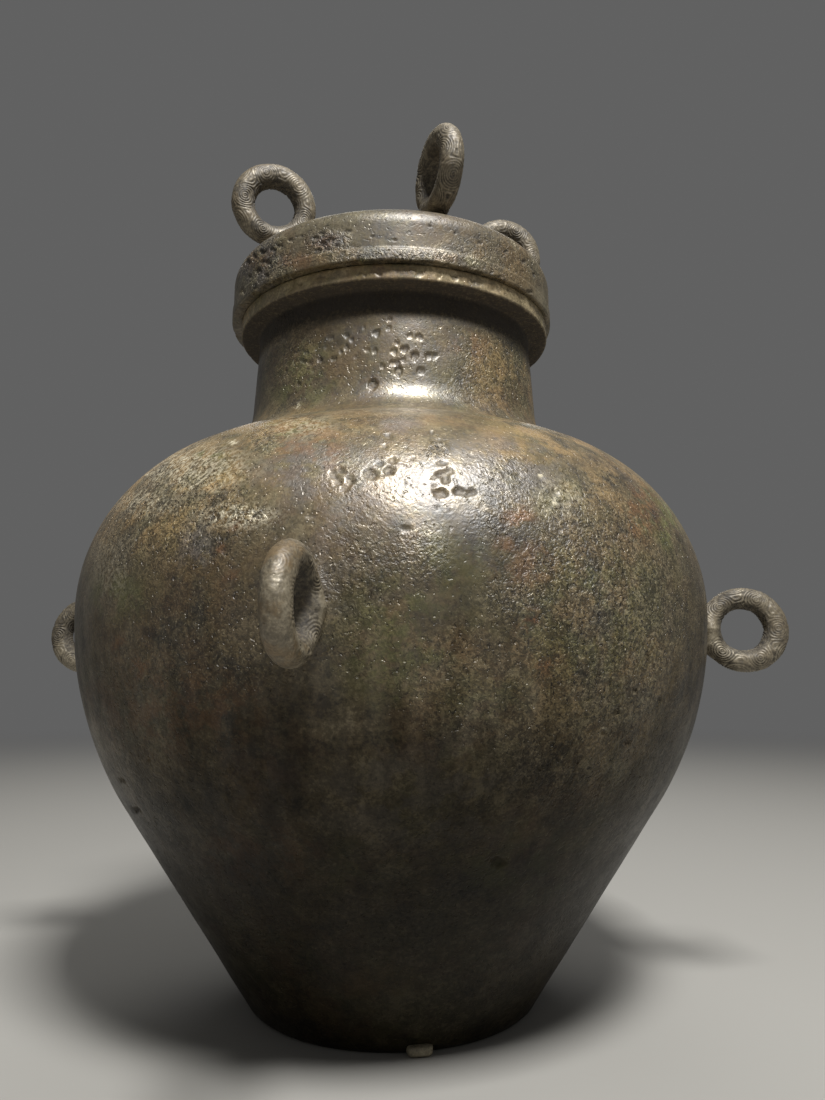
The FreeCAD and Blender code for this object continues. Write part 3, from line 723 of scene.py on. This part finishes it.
# The crust's relief: a peel, finer grain and pinholes, strong where there is crust, over slow swells.
PEEL = 300.0, 2.0, 0.5, 1.3
FINE_GRAIN = 950.0, 3.0, 0.6
SWELLS = 95.0, 3.0, 0.5
PINHOLES = 420.0, 1.0, 0.4
TO_PINHOLE = 0.36, 0.26
CRUST_ROUGH = 1.3
PLAIN_ROUGH = 0.12
FINE_HEIGHT = 0.45
SWELL_HEIGHT = 0.35
PEEL_WORN = 0.6
FINE_WORN = 0.4

crust, taken, given = group(
    "crust",
    [("Place", "NodeSocketVector"), ("Crust", "NodeSocketFloat")],
    [("Height", "NodeSocketFloat"), ("Grain", "NodeSocketFloat")],
)
peel = clouded(crust, taken["Place"], *PEEL)
fine_grain = clouded(crust, taken["Place"], *FINE_GRAIN)
swells = clouded(crust, taken["Place"], *SWELLS)
rough_share = plus(crust, times(crust, taken["Crust"], CRUST_ROUGH), PLAIN_ROUGH)
height = plus(crust, peel, times(crust, fine_grain, FINE_HEIGHT))
height = plus(crust, times(crust, height, rough_share), times(crust, swells, SWELL_HEIGHT))
pinholes = ranged(crust, clouded(crust, taken["Place"], *PINHOLES), *TO_PINHOLE)
crust.links.new(less(crust, height, times(crust, pinholes, rough_share)), given["Height"])
# The worn grain's height goes out as well, to paint shade and light into the colour.
worn_grain = plus(crust, times(crust, peel, PEEL_WORN), times(crust, fine_grain, FINE_WORN))
crust.links.new(worn_grain, given["Grain"])

# How the body changes with height in metres, with streaks that run down it: each step by its start and end,
# and the factor that it goes from and to. The colour holds painted shade, darker towards the foot, and
# painted light, paler on the shoulder, neck and lip face. The foot is plain, and the shoulder and neck shine
# with wax.
STREAKS = 1.0, 4.0, 0.6
STREAK_SCALE = (60.0, 60.0, 5.0)
STREAK_REACH = 0.12
WAX_RISE = 0.12, 0.31
FOOT_PAINTED_SHADE = 0.09, 0.24, 0.20, 1.0
SHOULDER_PAINTED_LIGHT = 0.23, 0.33, 1.0, 2.1
NECK_PAINTED_LIGHT_CUT = 0.325, 0.35, 1.0, 0.7
LIP_PAINTED_LIGHT = 0.4245, 0.4265, 1.0, 1.9
WAX_SHINE = 0.0, 1.0, 0.12, 1.0
SHINE = 0.85

# How the crust's grain paints shade into its low spots and light onto its crests, and what the tone does to
# the finish.
GRAIN_PAINTED_SHADE_AND_LIGHT = 0.42, 0.60, 0.45, 1.45
GRAIN_PAINTED_SHADE_BY_CRUST = 0.0, 1.0, 0.25, 0.9
TONE_POLISHED = 0.40, 0.62
ROUGHER = 0.08
SMOOTHER = 0.04
HOLLOW_DULL = 0.35
TONE_METAL = 0.42, 0.62, 0.08, 0.35
CRUST_HEIGHT = 0.0008


def bronze_finish(name, dark, middle, light, roughness, dirt_shade_strength=0.60, body=False):
    """Old bronze: patina over metal, with the fine grain's painted shade and light, dirt and painted shade
    where marked, and for the body painted shade and light that change with height.
    """
    made = bpy.data.materials.new(name)
    made.use_nodes = True
    tree = made.node_tree
    shader = tree.nodes["Principled BSDF"]
    place = part(tree, "ShaderNodeTexCoord").outputs["Object"]

    def marked(mark):
        return part(tree, "ShaderNodeAttribute", attribute_name=mark).outputs["Fac"]

    inputs = {"Place": place, "Dark": dark, "Middle": middle, "Light": light,
              "Crust": marked("crust"), "Dirt_And_Painted_Shade": marked("hollow"), "Dirt_Shade_Strength": dirt_shade_strength}
    inputs.update({kind.title(): marked(kind) for kind in STAIN_COLOURS})
    coloured = part(tree, "ShaderNodeGroup", inputs, node_tree=patina)
    colour, tone = coloured.outputs["Color"], coloured.outputs["Tone"]
    waxed = 1.0
    shader.inputs["Specular IOR Level"].default_value = SHINE
    if body:
        height = part(tree, "ShaderNodeSeparateXYZ", {"Vector": place}).outputs["Z"]
        streaked = part(tree, "ShaderNodeMapping", {"Vector": place, "Scale": STREAK_SCALE})
        streaks = clouded(tree, streaked.outputs["Vector"], *STREAKS)
        level = plus(tree, height, times(tree, less(tree, streaks, 0.5), STREAK_REACH))
        waxed = ranged(tree, level, *WAX_RISE)
        # Painted shade and light: the colour is darkened towards the foot and lightened on the shoulder,
        # neck and lip face.
        painted_light_and_shade = times(tree, ranged(tree, level, *FOOT_PAINTED_SHADE), ranged(tree, level, *SHOULDER_PAINTED_LIGHT))
        painted_light_and_shade = times(tree, painted_light_and_shade, ranged(tree, level, *NECK_PAINTED_LIGHT_CUT))
        painted_light_and_shade = times(tree, painted_light_and_shade, ranged(tree, height, *LIP_PAINTED_LIGHT))
        tree.links.new(ranged(tree, waxed, *WAX_SHINE), shader.inputs["Specular IOR Level"])
        colour = mixed(tree, 1.0, colour, grey(tree, painted_light_and_shade), "MULTIPLY")
    raised = part(tree, "ShaderNodeGroup", {"Place": place, "Crust": marked("crust")}, node_tree=crust)
    # Painted shade and light of the fine relief: the grain's low spots darken the colour and its crests
    # lighten it, most where there is crust.
    hollows = grey(tree, ranged(tree, raised.outputs["Grain"], *GRAIN_PAINTED_SHADE_AND_LIGHT))
    colour = mixed(tree, ranged(tree, marked("crust"), *GRAIN_PAINTED_SHADE_BY_CRUST), colour, hollows, "MULTIPLY")
    tree.links.new(colour, shader.inputs["Base Color"])
    polish = ranged(tree, tone, *TONE_POLISHED, roughness + ROUGHER, roughness - SMOOTHER)
    dull = plus(tree, polish, times(tree, marked("hollow"), HOLLOW_DULL))
    tree.links.new(dull, shader.inputs["Roughness"])
    metallic = ranged(tree, tone, *TONE_METAL)
    tree.links.new(times(tree, metallic, waxed), shader.inputs["Metallic"])
    names = {"Height": raised.outputs["Height"], "Strength": 1.0, "Distance": CRUST_HEIGHT}
    tree.links.new(part(tree, "ShaderNodeBump", names).outputs["Normal"], shader.inputs["Normal"])
    return made


bronze = bronze_finish(
    "bronze_body",
    dark=(0.028, 0.022, 0.013, 1),
    middle=(0.075, 0.059, 0.032, 1),
    light=(0.165, 0.134, 0.080, 1),
    roughness=0.36,
    body=True,
)
jar_body.data.materials.append(bronze)

# Four ring handles stand upright around the belly, each cast with a round bar that spreads into the wall at
# its root. Whorls of fine raised lines cover the bar, worn where hands and cords have rubbed it, and dark
# earth is left between the lines.
BELLY_RING_MEAN = 0.0395
BELLY_RING_BAR = 0.0138
RING_STEPS = 320
BAR_STEPS = 112
HOLE_SHIFT = 0.0012
LEG_ANGLE = math.radians(50)
LEG_SPREAD = 0.35
ROOT_SINK = 0.003
SIDE_WHORLS = (0, 68, -68, 137, -137)
EDGE_WHORLS = (34, -34, 102, -102)
WHORL_PITCH = 0.0015
WHORL_DEPTH = 0.00050
WHORL_BLEND = 0.0012
RING_DENTS = ((0.00020, 0.0022, 20), (0.00030, 0.009, 30))
RING_WEAR_SIZE = 0.011
RING_WEAR_CONTRAST = 1.8
RING_WEAR = 0.55
HOLE_DIRT_AND_SHADE = 0.85


def whorl_lines(turn, roll, mean, bar):
    """From 0 on a raised line to 1 in a groove, over whorls that run into each other round a ring's bar."""
    quarter = math.pi / 2
    middles = [(at, side) for at in SIDE_WHORLS for side in (quarter, -quarter)]
    middles += [(at, edge) for at in EDGE_WHORLS for edge in (0, math.pi)]
    nearness = np.zeros(np.broadcast(turn, roll).shape)
    for at, across in middles:
        ahead = np.angle(np.exp(1j * (turn - math.radians(at)))) * (mean + bar * np.cos(roll)) / 2
        aside = np.angle(np.exp(1j * (roll - across))) * bar / 2
        nearness += np.exp(-np.hypot(ahead, aside) / WHORL_BLEND)
    away = -WHORL_BLEND * np.log(nearness)
    return 0.5 - 0.5 * np.cos(math.tau * away / WHORL_PITCH)


def ring_handle(name, middle, outward, upright, mean, bar, wall, seed, twist, worn, leg_angle, spread):
    """A ring of round bar. Outward points away from the wall, which is the given distance from the middle.
    Its hole is round, and the outside of its two legs runs straight on into the wall."""
    turn = np.linspace(-math.pi, math.pi, RING_STEPS, endpoint=False)[:, None]
    roll = np.linspace(0, math.tau, BAR_STEPS, endpoint=False)[None, :]
    inward = math.pi - np.abs(turn)
    hole, outer = (mean - bar) / 2, (mean + bar) / 2
    inside = -HOLE_SHIFT * np.cos(turn) + np.sqrt(hole**2 - (HOLE_SHIFT * np.sin(turn)) ** 2)
    leg = outer / np.cos(np.clip(leg_angle - inward, 0, None))
    sunk = (wall + ROOT_SINK) / np.clip(np.cos(inward), 0.2, 1)
    outside = np.where(inward < leg_angle, np.minimum(leg, sunk), outer)
    flare = np.clip((leg_angle - inward) / leg_angle, 0, 1) ** 2
    across = bar / 2 * (1 + spread * flare)
    way = [np.array(axis) for axis in (outward, upright, outward.cross(upright))]
    way[1], way[2] = (
        way[1] * math.cos(twist) + way[2] * math.sin(twist),
        way[2] * math.cos(twist) - way[1] * math.sin(twist),
    )

    def places(height):
        reach = (outside + inside) / 2 + ((outside - inside) / 2 + height) * np.cos(roll)
        aside = (across + height) * np.sin(roll)
        forward, upward = (reach * np.cos(turn))[..., None], (reach * np.sin(turn))[..., None]
        return np.array(middle) + way[0] * forward + way[1] * upward + way[2] * aside[..., None]

    # Handling has rubbed the far side of the ring most, and the whorls fade out at the roots of the legs.
    shape = RING_STEPS, BAR_STEPS
    smooth_bar = places(np.zeros(shape)).reshape(-1, 3)
    rubbed = smooth(0.5 + RING_WEAR_CONTRAST * lumps(smooth_bar, RING_WEAR_SIZE, seed))
    rubbed = rubbed.reshape(shape) * RING_WEAR
    rubbed = np.maximum(rubbed, worn * smooth(1.6 * np.cos(roll) + 0.4) * smooth(2 - np.abs(turn)))
    grooves = whorl_lines(turn, roll, mean, bar) * (1 - rubbed) * smooth(3 * inward - 0.5)
    height = roughened(0, smooth_bar, RING_DENTS, seed).reshape(shape)
    corners = places(height - WHORL_DEPTH * grooves).reshape(-1, 3)
    number = np.arange(RING_STEPS * BAR_STEPS).reshape(shape)
    next_turn, next_roll = np.roll(number, -1, axis=0), np.roll(number, -1, axis=1)
    next_both = np.roll(next_turn, -1, axis=1)
    faces = np.stack((number, next_turn, next_both, next_roll), axis=-1).reshape(-1, 4)
    mesh = bpy.data.meshes.new(name)
    mesh.from_pydata(corners.tolist(), [], faces.tolist())
    mesh.shade_smooth()
    # Dark earth is left in the grooves, and the side of the bar that faces the hole is darkened by dirt and
    # painted shade.
    hole_side_dirt_and_shade = smooth(-2.2 * np.cos(roll) - 0.6) * np.ones(shape)
    earth_and_painted_shade = np.maximum(grooves, HOLE_DIRT_AND_SHADE * hole_side_dirt_and_shade).ravel()
    keep_marks(mesh, {"hollow": earth_and_painted_shade, "ochre": worn * smooth(2 * rubbed.ravel() - 0.5)})
    mesh.materials.append(ring_bronze)
    return linked(name, mesh)


ring_bronze = bronze_finish(
    "bronze_rings",
    dark=(0.075, 0.060, 0.038, 1),
    middle=(0.180, 0.148, 0.096, 1),
    light=(0.320, 0.274, 0.192, 1),
    roughness=0.46,
    dirt_shade_strength=1.0,
)
ring_distance = jar_high.x - (BELLY_RING_MEAN + BELLY_RING_BAR) / 2
BELLY_RING_TWIST = {"right": math.radians(-3)}
BELLY_RING_WORN = {"front": 0.8, "right": 0.2, "back": 0.2, "left": 0.2}
for seed, (side_name, angle) in enumerate(BELLY_RING_ANGLES.items()):
    outward = Vector((math.cos(angle), math.sin(angle), 0))
    ring = ring_handle(
        f"belly_ring_{side_name}",
        outward * ring_distance + Vector((0, 0, BELLY_RING_HEIGHT)),
        outward,
        Vector((0, 0, 1)),
        BELLY_RING_MEAN,
        BELLY_RING_BAR,
        ring_distance - BELLY_RADIUS,
        seed,
        BELLY_RING_TWIST.get(side_name, 0.0),
        BELLY_RING_WORN[side_name],
        LEG_ANGLE,
        LEG_SPREAD,
    )
    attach(ring, "root")
    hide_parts("jar")

# Three stub feet are cast at the edge of the underside, of the jar's own bronze: small rough blocks, half
# hidden by the foot. Their colours are paler than the body's, as painted light where the lamp falls on them.
STUB_COUNT = 3
STUB_ANGLE = math.radians(-70)
STUB_WIDTH = 0.014
STUB_HEIGHT = 0.006
STUB_REACH = 0.007
STUB_ROOT = 0.006
STUB_ROUNDS = 40
STUB_LEVELS = 20


def stub_foot(name, angle):
    """A worn lump, nearly square in plan and section."""
    rounds, rings = STUB_ROUNDS, STUB_LEVELS
    out = np.array((math.cos(angle), math.sin(angle), 0))
    side = np.array((-math.sin(angle), math.cos(angle), 0))
    length = STUB_REACH + STUB_ROOT
    middle = out * (BASE_RADIUS + STUB_REACH - length / 2) + np.array((0, 0, STUB_HEIGHT / 2))
    turn = np.linspace(0, math.tau, rounds, endpoint=False)
    rise = np.linspace(-math.pi / 2, math.pi / 2, rings + 2)[1:-1]

    def square(value, power=0.5):
        return np.sign(value) * np.abs(value) ** power

    corners = []
    for level in rise:
        for step in turn:
            flat = square(math.cos(level))
            corners.append(
                middle
                + out * length / 2 * flat * square(math.cos(step))
                + side * STUB_WIDTH / 2 * flat * square(math.sin(step))
                + np.array((0, 0, STUB_HEIGHT / 2 * square(math.sin(level))))
            )
    corners.append(middle - np.array((0, 0, STUB_HEIGHT / 2)))
    corners.append(middle + np.array((0, 0, STUB_HEIGHT / 2)))
    faces = []
    for level in range(rings - 1):
        for step in range(rounds):
            ahead = (step + 1) % rounds
            low, high = level * rounds, (level + 1) * rounds
            faces.append((low + step, low + ahead, high + ahead, high + step))
    bottom, top, last = rings * rounds, rings * rounds + 1, (rings - 1) * rounds
    for step in range(rounds):
        ahead = (step + 1) % rounds
        faces.append((bottom, ahead, step))
        faces.append((top, last + step, last + ahead))
    mesh = bpy.data.meshes.new(name)
    mesh.from_pydata([tuple(corner) for corner in corners], [], faces)
    mesh.shade_smooth()
    mesh.materials.append(stub_bronze_painted_light)
    return linked(name, mesh)


# The feet's pale colours are painted light.
stub_bronze_painted_light = bronze_finish(
    "bronze_feet_painted_light",
    dark=(0.120, 0.100, 0.065, 1),
    middle=(0.260, 0.225, 0.150, 1),
    light=(0.400, 0.350, 0.240, 1),
    roughness=0.6,
)
for place in range(STUB_COUNT):
    foot = stub_foot(f"stub_foot_{place + 1}", STUB_ANGLE + math.tau * place / STUB_COUNT)
    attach(foot, "root")
    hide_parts("jar")

# The lid is a separate bronze casting: a low crowned cap whose upright wall has a prouder band at its foot.
# It rests on the lip and reaches into the mouth with a thin rim. Its left side is eaten by deep pits and its
# lower edge is chipped.
lid_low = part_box("lid")[0]
LID_AXIS = (-0.0021, 0)
LID_RADIUS = 0.1105
LID_BAND_RADIUS = 0.1113
LID_BAND_HEIGHT = 0.0074
LID_BAND_SLOPE = 0.0008
LID_SIDE = 0.024
LID_SHOULDER = 0.014
LID_CROWN = 0.215
LID_WALL = 0.0045
SEAT_THICKNESS = 0.005
TONGUE_RADIUS = 0.0855
TONGUE_WALL = 0.004
LID_FOOT_EASE = 0.0009
LID_STEP_EASE = 0.0004
crown_drop = math.sqrt((LID_CROWN - LID_SHOULDER) ** 2 - (LID_RADIUS - LID_SHOULDER) ** 2)

# Pits, chips and stains of the lid, as the photograph shows them.
LID_PITS = [
    (248, 262, 6, 5), (254, 256, 6, 5), (262, 252, 8, 5), (268, 262, 7, 6), (258, 270, 7, 6),
    (250, 276, 5, 5), (266, 275, 6, 5), (273, 250, 7, 4), (246, 249, 4, 4), (280, 246, 6, 4),
    (256, 246, 5, 4), (262, 262, 5, 4), (316, 238, 7, 5), (323, 244, 8, 6), (331, 240, 7, 5),
    (327, 249, 6, 4), (318, 250, 6, 4), (336, 246, 5, 4), (322, 234, 6, 4), (348, 231, 8, 3),
    (290, 240, 5, 4), (301, 236, 5, 3), (372, 236, 4, 3), (455, 233, 4, 3), (480, 243, 5, 3),
    (506, 252, 5, 4), (524, 262, 5, 4), (534, 275, 4, 5), (430, 226, 4, 3), (395, 240, 4, 3),
]
LID_CHIPS = [
    (288, 277, 8, 5), (390, 264, 9, 4), (425, 263, 26, 5), (447, 265, 9, 4), (256, 289, 6, 5),
    (243, 291, 6, 6), (470, 268, 14, 4), (350, 266, 7, 3), (500, 277, 8, 4), (315, 270, 8, 3),
    (530, 292, 7, 5),
]
LID_STAINS = {
    "ochre": [
        (330, 258, 120, 20, 0.7), (480, 250, 120, 24, 0.6), (440, 232, 90, 22, 0.5),
        (520, 270, 50, 40, 0.6),
    ],
    "green": [
        (360, 260, 16, 6, 0.8), (250, 282, 20, 20, 0.6), (470, 262, 50, 10, 0.4), (380, 222, 60, 12, 0.4),
    ],
    "rust": [
        (300, 262, 50, 16, 0.6), (325, 242, 40, 16, 0.5), (262, 258, 36, 26, 0.4), (450, 258, 60, 8, 0.4),
    ],
    "slate": [(260, 262, 50, 50, 0.9), (325, 243, 40, 20, 0.8), (410, 226, 120, 16, 0.5)],
    "crust": [
        (262, 262, 60, 60, 1.0), (326, 243, 44, 26, 1.0), (500, 262, 100, 60, 0.6),
        (390, 258, 200, 16, 0.7),
    ],
    "cream": [(276, 260, 12, 3, 0.9), (348, 234, 8, 3, 0.8), (256, 290, 5, 3, 0.9), (244, 293, 5, 3, 0.9)],
}


def lid_outline():
    """The lid's half section, from under the crown down the inside, and up the outside to the top."""
    crown_middle = (0, RIM_HEIGHT + LID_SIDE - crown_drop)
    edge_middle = (LID_RADIUS - LID_SHOULDER, RIM_HEIGHT + LID_SIDE)
    meet = math.atan2(crown_drop, LID_RADIUS - LID_SHOULDER)
    seat = RIM_HEIGHT + SEAT_THICKNESS
    band_top = RIM_HEIGHT + LID_BAND_HEIGHT
    outline = np.concatenate((
        arc(crown_middle, LID_CROWN - LID_WALL, math.pi / 2, meet),
        arc(edge_middle, LID_SHOULDER - LID_WALL, meet, 0)[1:],
        [
            (LID_RADIUS - LID_WALL, seat),
            (TONGUE_RADIUS - TONGUE_WALL, seat),
            (TONGUE_RADIUS - TONGUE_WALL, lid_low.z),
            (TONGUE_RADIUS, lid_low.z),
            (TONGUE_RADIUS, RIM_HEIGHT),
            (LID_BAND_RADIUS, RIM_HEIGHT),
            (LID_BAND_RADIUS, band_top),
            (LID_RADIUS, band_top + LID_BAND_SLOPE),
        ],
        arc(edge_middle, LID_SHOULDER, 0, meet),
        arc(crown_middle, LID_CROWN, meet, math.pi / 2)[1:],
    ))
    outline[0, 0] = outline[-1, 0] = 0
    corners = [
        ((LID_BAND_RADIUS, RIM_HEIGHT), LID_FOOT_EASE),
        ((LID_BAND_RADIUS, band_top), LID_STEP_EASE),
        ((LID_RADIUS, band_top + LID_BAND_SLOPE), LID_STEP_EASE),
    ]
    return eased(outline, corners)


# The lid's rings: their angles in degrees, and how far the foot of each lies from the lid's axis.
LID_RING_ANGLES = {"front": -60.0, "right": 24.4, "back": 122.0, "left": 221.0}
LID_RING_PLACES = {"front": 0.0795, "right": 0.077, "back": 0.079, "left": 0.081}
LID_RING_TWIST = {"left": math.radians(-12)}
LID_RING_MEAN = 0.0415
LID_RING_BAR = 0.015
LID_RING_BITE = 0.001
LID_RING_WORN = 0.3
LID_RING_SEED = 10
LID_LEG_ANGLE = math.radians(32)
LID_LEG_SPREAD = 0.05
crown_centre = Vector((LID_AXIS[0], LID_AXIS[1], RIM_HEIGHT + LID_SIDE - crown_drop))
ring_reach = LID_CROWN - LID_RING_BITE + (LID_RING_MEAN + LID_RING_BAR) / 2


def lid_ring_way(side_name):
    """The direction from the crown's centre through a ring, and the direction up the crown at its foot."""
    angle, lean = math.radians(LID_RING_ANGLES[side_name]), math.asin(LID_RING_PLACES[side_name] / LID_CROWN)
    level = Vector((math.cos(angle), math.sin(angle), 0))
    outward = level * math.sin(lean) + Vector((0, 0, math.cos(lean)))
    return outward, Vector((0, 0, math.sin(lean))) - level * math.cos(lean)


lid_roots = []
for side_name in LID_RING_ANGLES:
    outward, upright = lid_ring_way(side_name)
    lid_roots.append((np.array(crown_centre + outward * LID_CROWN), np.array(upright), np.array(outward)))
lid_tree = solid_tree("lid")
lid_marks = pit_marks(lid_tree, [spot for spot in LID_PITS + LID_CHIPS if seen_on(lid_tree, *spot[:2])])

# Sizes of the cells of the lid's mesh, and its dents and the wear of its lower edge.
LID_COLUMNS = 64
LID_ROWS = 40
LID_HALVINGS = 4
LID_CELL = 0.0016
LID_BACK_CELL = 0.0026
LID_EDGE_CELL = 0.0006
LID_EDGE_BACK_CELL = 0.0012
LID_INSIDE_CELL = 0.010
LID_FRONT_DEPTH = 0.03
LID_EDGE_REACH = 0.0012
SEAT_MARGIN = 0.015
LID_DENTS = ((0.0003, 0.05, 3.0), (0.00014, 0.014, 9.0))
LID_PIT_SEED = 5.0
LID_CHIP_SEED = 7.0
LID_EDGE_HEIGHT = 0.0025
LID_WEAR_SIZE = 0.006
LID_WEAR_SEED = 17.0
LID_WEAR_CONTRAST = 3
LID_WEAR_LEVEL = 0.5
LID_WEAR_DEPTH = 0.0005
LID_RUB_SIZE = 0.002
LID_RUB_SEED = 19.0
LID_RUB_DEPTH = 0.0002
LID_CHIP_DIRT = 0.5
lid_turned = Turned(lid_outline(), LID_AXIS)
seat_run = lid_turned.run_to(TONGUE_RADIUS, RIM_HEIGHT) + SEAT_MARGIN
step_height = RIM_HEIGHT + LID_BAND_HEIGHT + LID_BAND_SLOPE / 2


def lid_fineness(places, along):
    """The mesh is finest at the step, the lower edge and the pits, and coarse underneath."""
    front = places[:, 1] < LID_FRONT_DEPTH
    size = np.where(front, LID_CELL, LID_BACK_CELL)
    for edge_height in (step_height, RIM_HEIGHT):
        edge = np.abs(places[:, 2] - edge_height) < LID_EDGE_REACH
        size = np.where(edge, np.where(front, LID_EDGE_CELL, LID_EDGE_BACK_CELL), size)
    size = np.minimum(size, near_marks(places, lid_marks, LID_EDGE_CELL))
    return np.where(along < seat_run, LID_INSIDE_CELL, size)


def lid_relief(places, out, along):
    """Dents, pits and chips of the lid, and its crown drawn up around the roots of the rings."""
    height = roughened(0, places, LID_DENTS)
    outer = along > seat_run
    deep, inside = pitted(places, out, LID_PITS, LID_PIT_SEED)
    chipped, broken = pitted(places, out, LID_CHIPS, LID_CHIP_SEED)
    height = height - np.where(outer, np.maximum(deep, chipped), 0)
    for middle, upright, outward in lid_roots:
        root = round_root(places, middle, upright, np.cross(outward, upright))
        height = height + np.where(outer, ROOT_RISE * root, 0)
    foot = smooth(1 - (places[:, 2] - RIM_HEIGHT) / LID_EDGE_HEIGHT) * outer
    worn = smooth(LID_WEAR_CONTRAST * lumps(places, LID_WEAR_SIZE, LID_WEAR_SEED) - LID_WEAR_LEVEL)
    rubbed = np.abs(lumps(places, LID_RUB_SIZE, LID_RUB_SEED))
    height = height - foot * (LID_WEAR_DEPTH * worn + LID_RUB_DEPTH * rubbed)
    marks = stained(places, out, LID_STAINS)
    marks["hollow"] = np.maximum(inside, LID_CHIP_DIRT * broken) * outer
    return height, marks


lid = skin("lid_cap", lid_turned, LID_COLUMNS, LID_ROWS, LID_HALVINGS, lid_fineness, lid_relief)
# The lid's colours are paler than the body's: its own patina, partly painted light for the lamp's broad
# gleam on its upright wall.
lid_bronze_partly_painted_light = bronze_finish(
    "bronze_lid_partly_painted_light",
    dark=(0.044, 0.035, 0.022, 1),
    middle=(0.122, 0.099, 0.060, 1),
    light=(0.240, 0.202, 0.130, 1),
    roughness=0.43,
)
lid.data.materials.append(lid_bronze_partly_painted_light)
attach(lid, "root")
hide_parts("lid")

# Four ring handles are cast on the crown, like those of the belly. They stand square to the crown and lean
# out, and were set by eye, so their angles are uneven.
for seed, side_name in enumerate(LID_RING_ANGLES):
    outward, upright = lid_ring_way(side_name)
    ring = ring_handle(
        f"lid_ring_{side_name}",
        crown_centre + outward * ring_reach,
        outward,
        upright,
        LID_RING_MEAN,
        LID_RING_BAR,
        ring_reach - LID_CROWN,
        LID_RING_SEED + seed,
        LID_RING_TWIST.get(side_name, 0.0),
        LID_RING_WORN,
        LID_LEG_ANGLE,
        LID_LEG_SPREAD,
    )
    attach(ring, "root")
    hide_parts("lid")

# A plain pale floor fades into a plain backdrop of the studio's own grey.
FLOOR_COLOUR = (0.385, 0.372, 0.340, 1)
STUDIO_GREY = (0.12, 0.12, 0.12, 1)
FLOOR_REACH = 9.0
FLOOR_ROUGHNESS = 0.8
FADE_START = 0.7
FADE_END = 3.2
floor_mesh = bpy.data.meshes.new("floor")
floor_corners = [(FLOOR_REACH * x, FLOOR_REACH * y, 0) for x, y in ((-1, -1), (1, -1), (1, 1), (-1, 1))]
floor_mesh.from_pydata(floor_corners, [], [(0, 1, 2, 3)])
floor = linked("floor", floor_mesh)
floor_finish = bpy.data.materials.new("floor")
floor_finish.use_nodes = True
floor_tree = floor_finish.node_tree
paint = floor_tree.nodes["Principled BSDF"]
paint.inputs["Base Color"].default_value = FLOOR_COLOUR
paint.inputs["Roughness"].default_value = FLOOR_ROUGHNESS
floor_place = part(floor_tree, "ShaderNodeTexCoord").outputs["Object"]
distance = part(floor_tree, "ShaderNodeVectorMath", {0: floor_place}, operation="LENGTH").outputs["Value"]
far = part(floor_tree, "ShaderNodeEmission", {"Color": STUDIO_GREY}).outputs["Emission"]
faded = part(floor_tree, "ShaderNodeMixShader", {
    0: ranged(floor_tree, distance, FADE_START, FADE_END), 1: paint.outputs["BSDF"], 2: far,
})
floor_tree.links.new(faded.outputs[0], floor_tree.nodes["Material Output"].inputs["Surface"])
floor_mesh.materials.append(floor_finish)

world = bpy.data.worlds.new("studio")
bpy.context.scene.world = world
world.use_nodes = True
world.node_tree.nodes["Background"].inputs["Color"].default_value = STUDIO_GREY
world.node_tree.nodes["Background"].inputs["Strength"].default_value = 1.0

# One soft lamp stands high in front, a little to the right, as its gleam on the shoulder and neck shows, and
# a weak one behind keeps the back readable. Each has its place, size in metres and power in watts.
LAMPS = {
    "key": ((0.44, -0.84, 1.80), 0.40, 47.0),
    "back": ((-0.30, 1.50, 1.70), 1.20, 9.0),
}
LAMP_AIM = Vector((0, 0, 0.28))
for name, (stand, size, power) in LAMPS.items():
    lamp_data = bpy.data.lights.new(name, "AREA")
    lamp_data.size = size
    lamp_data.energy = power
    lamp = linked(name, lamp_data)
    lamp.location = stand
    lamp.rotation_euler = (LAMP_AIM - lamp.location).to_track_quat("-Z", "Y").to_euler()

bpy.context.scene.view_settings.view_transform = "Standard"
